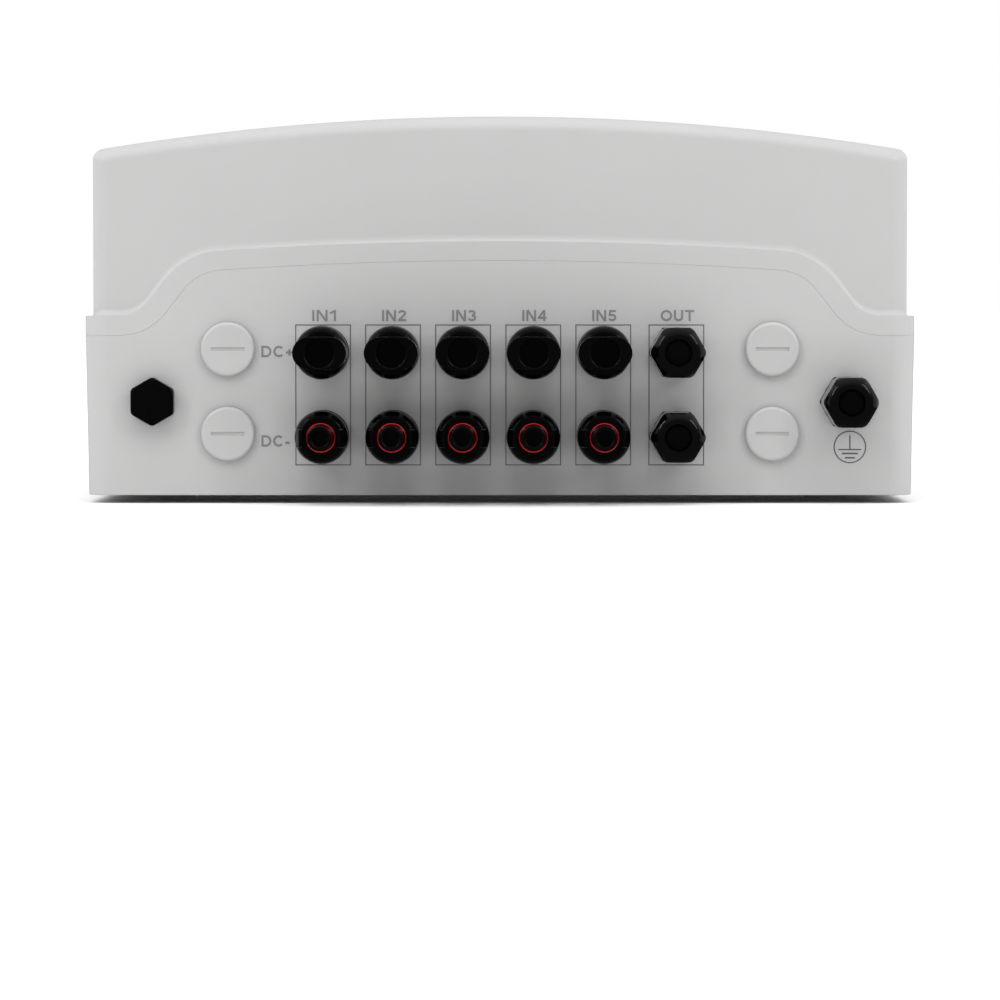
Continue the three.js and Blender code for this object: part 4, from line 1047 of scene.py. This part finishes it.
for i in range(4):
    x = ROW_X + MODULE * (3.5 + i)
    sheet(f"isolator_off_{i + 1}", rings(1.9, 1.45), top(x, RAIL_Y - 16.5, 104.6), INK_BLUE)
    sheet(f"isolator_on_{i + 1}", bar(-0.25, 0.25, -1.9, 1.9), top(x, RAIL_Y + 16.5, 104.6), INK_BLUE)

# ---------------------------------------------------------------- camera, floor and light


def area_light(name, location, target, size, power):
    light = bpy.data.lights.new(name, "AREA")
    light.shape, light.size, light.size_y, light.energy = "RECTANGLE", size[0], size[1], power
    light.spread = math.pi
    obj = bpy.data.objects.new(name, light)
    obj.location = location
    obj.rotation_euler = (Vector(target) - Vector(location)).to_track_quat("-Z", "Y").to_euler()
    obj.visible_camera = False
    bpy.context.scene.collection.objects.link(obj)


def studio():
    """A pale floor out to the horizon, a white surround, and soft light from above and both sides."""
    scene = bpy.context.scene
    world = bpy.data.worlds.new("studio")
    scene.world = world
    world.use_nodes = True
    nodes, links = world.node_tree.nodes, world.node_tree.links
    surround = nodes["Background"]
    surround.inputs["Color"].default_value = (1, 1, 1, 1)
    surround.inputs["Strength"].default_value = 1.0
    # The camera sees a plain white surround. The object is lit by one that is brighter above.
    sky = nodes.new("ShaderNodeBackground")
    split = nodes.new("ShaderNodeSeparateXYZ")
    ramp = nodes.new("ShaderNodeMapRange")
    set_range(ramp, 0.05, 0.9, 0.26, 1.1)
    links.new(nodes.new("ShaderNodeTexCoord").outputs["Generated"], split.inputs["Vector"])
    links.new(split.outputs["Z"], ramp.inputs["Value"])
    links.new(ramp.outputs["Result"], sky.inputs["Strength"])
    mix = nodes.new("ShaderNodeMixShader")
    links.new(nodes.new("ShaderNodeLightPath").outputs["Is Camera Ray"], mix.inputs["Fac"])
    links.new(sky.outputs["Background"], mix.inputs[1])
    links.new(surround.outputs["Background"], mix.inputs[2])
    links.new(mix.outputs["Shader"], nodes["World Output"].inputs["Surface"])

    paper = Shader("floor_paper", Roughness=0.95, Specular_IOR_Level=0.1)
    tones = [(0.3, (0.93, 0.93, 0.93)), (0.7, (0.945, 0.945, 0.945))]
    paper.to(paper.ramp(paper.noise(3, 3), tones), "Base Color")
    steps = 96
    horizon = [(u, v, 0) for u, v in circle(60000, steps)]
    wedges = [(0, 1 + k, 1 + (k + 1) % steps) for k in range(steps)]
    floor = make("studio_floor", [(0, 0, 0)] + horizon, wedges)
    floor.data.materials.append(paper.material)
    floor.visible_glossy = False

    sun = bpy.data.lights.new("overhead", "SUN")
    sun.energy, sun.angle = 1.5, math.radians(60)
    obj = bpy.data.objects.new("overhead", sun)
    obj.rotation_euler = Vector((0, 0.42, -1.0)).to_track_quat("-Z", "Y").to_euler()
    obj.visible_glossy = False
    scene.collection.objects.link(obj)
    for side, name in ((-1, "left"), (1, "right")):
        area_light(f"key_{name}", (side * 1.3, -1.6, 1.1), (0, -0.2, 0.06), (0.05, 1.0), 7.5)
        area_light(f"side_{name}", (side * 2.4, 0.9, 0.95), (0, 0.9, 0.2), (5.0, 3.0), 36)

    cam = bpy.data.objects.new("camera", bpy.data.cameras.new("camera"))
    scene.collection.objects.link(cam)
    cam.data.sensor_width, cam.data.lens = 36, 168.5
    cam.data.clip_start, cam.data.clip_end = 0.05, 200
    # Level with the middle of the connector end, 1.8 m before it, and tilted down a little.
    cam.location = (0, -BASE["half_y"] * MM - 1.8, 0.0755)
    cam.rotation_euler = (math.radians(90 - 2.3615), 0, 0)
    scene.camera = cam
    scene.view_settings.view_transform = "Standard"


studio()
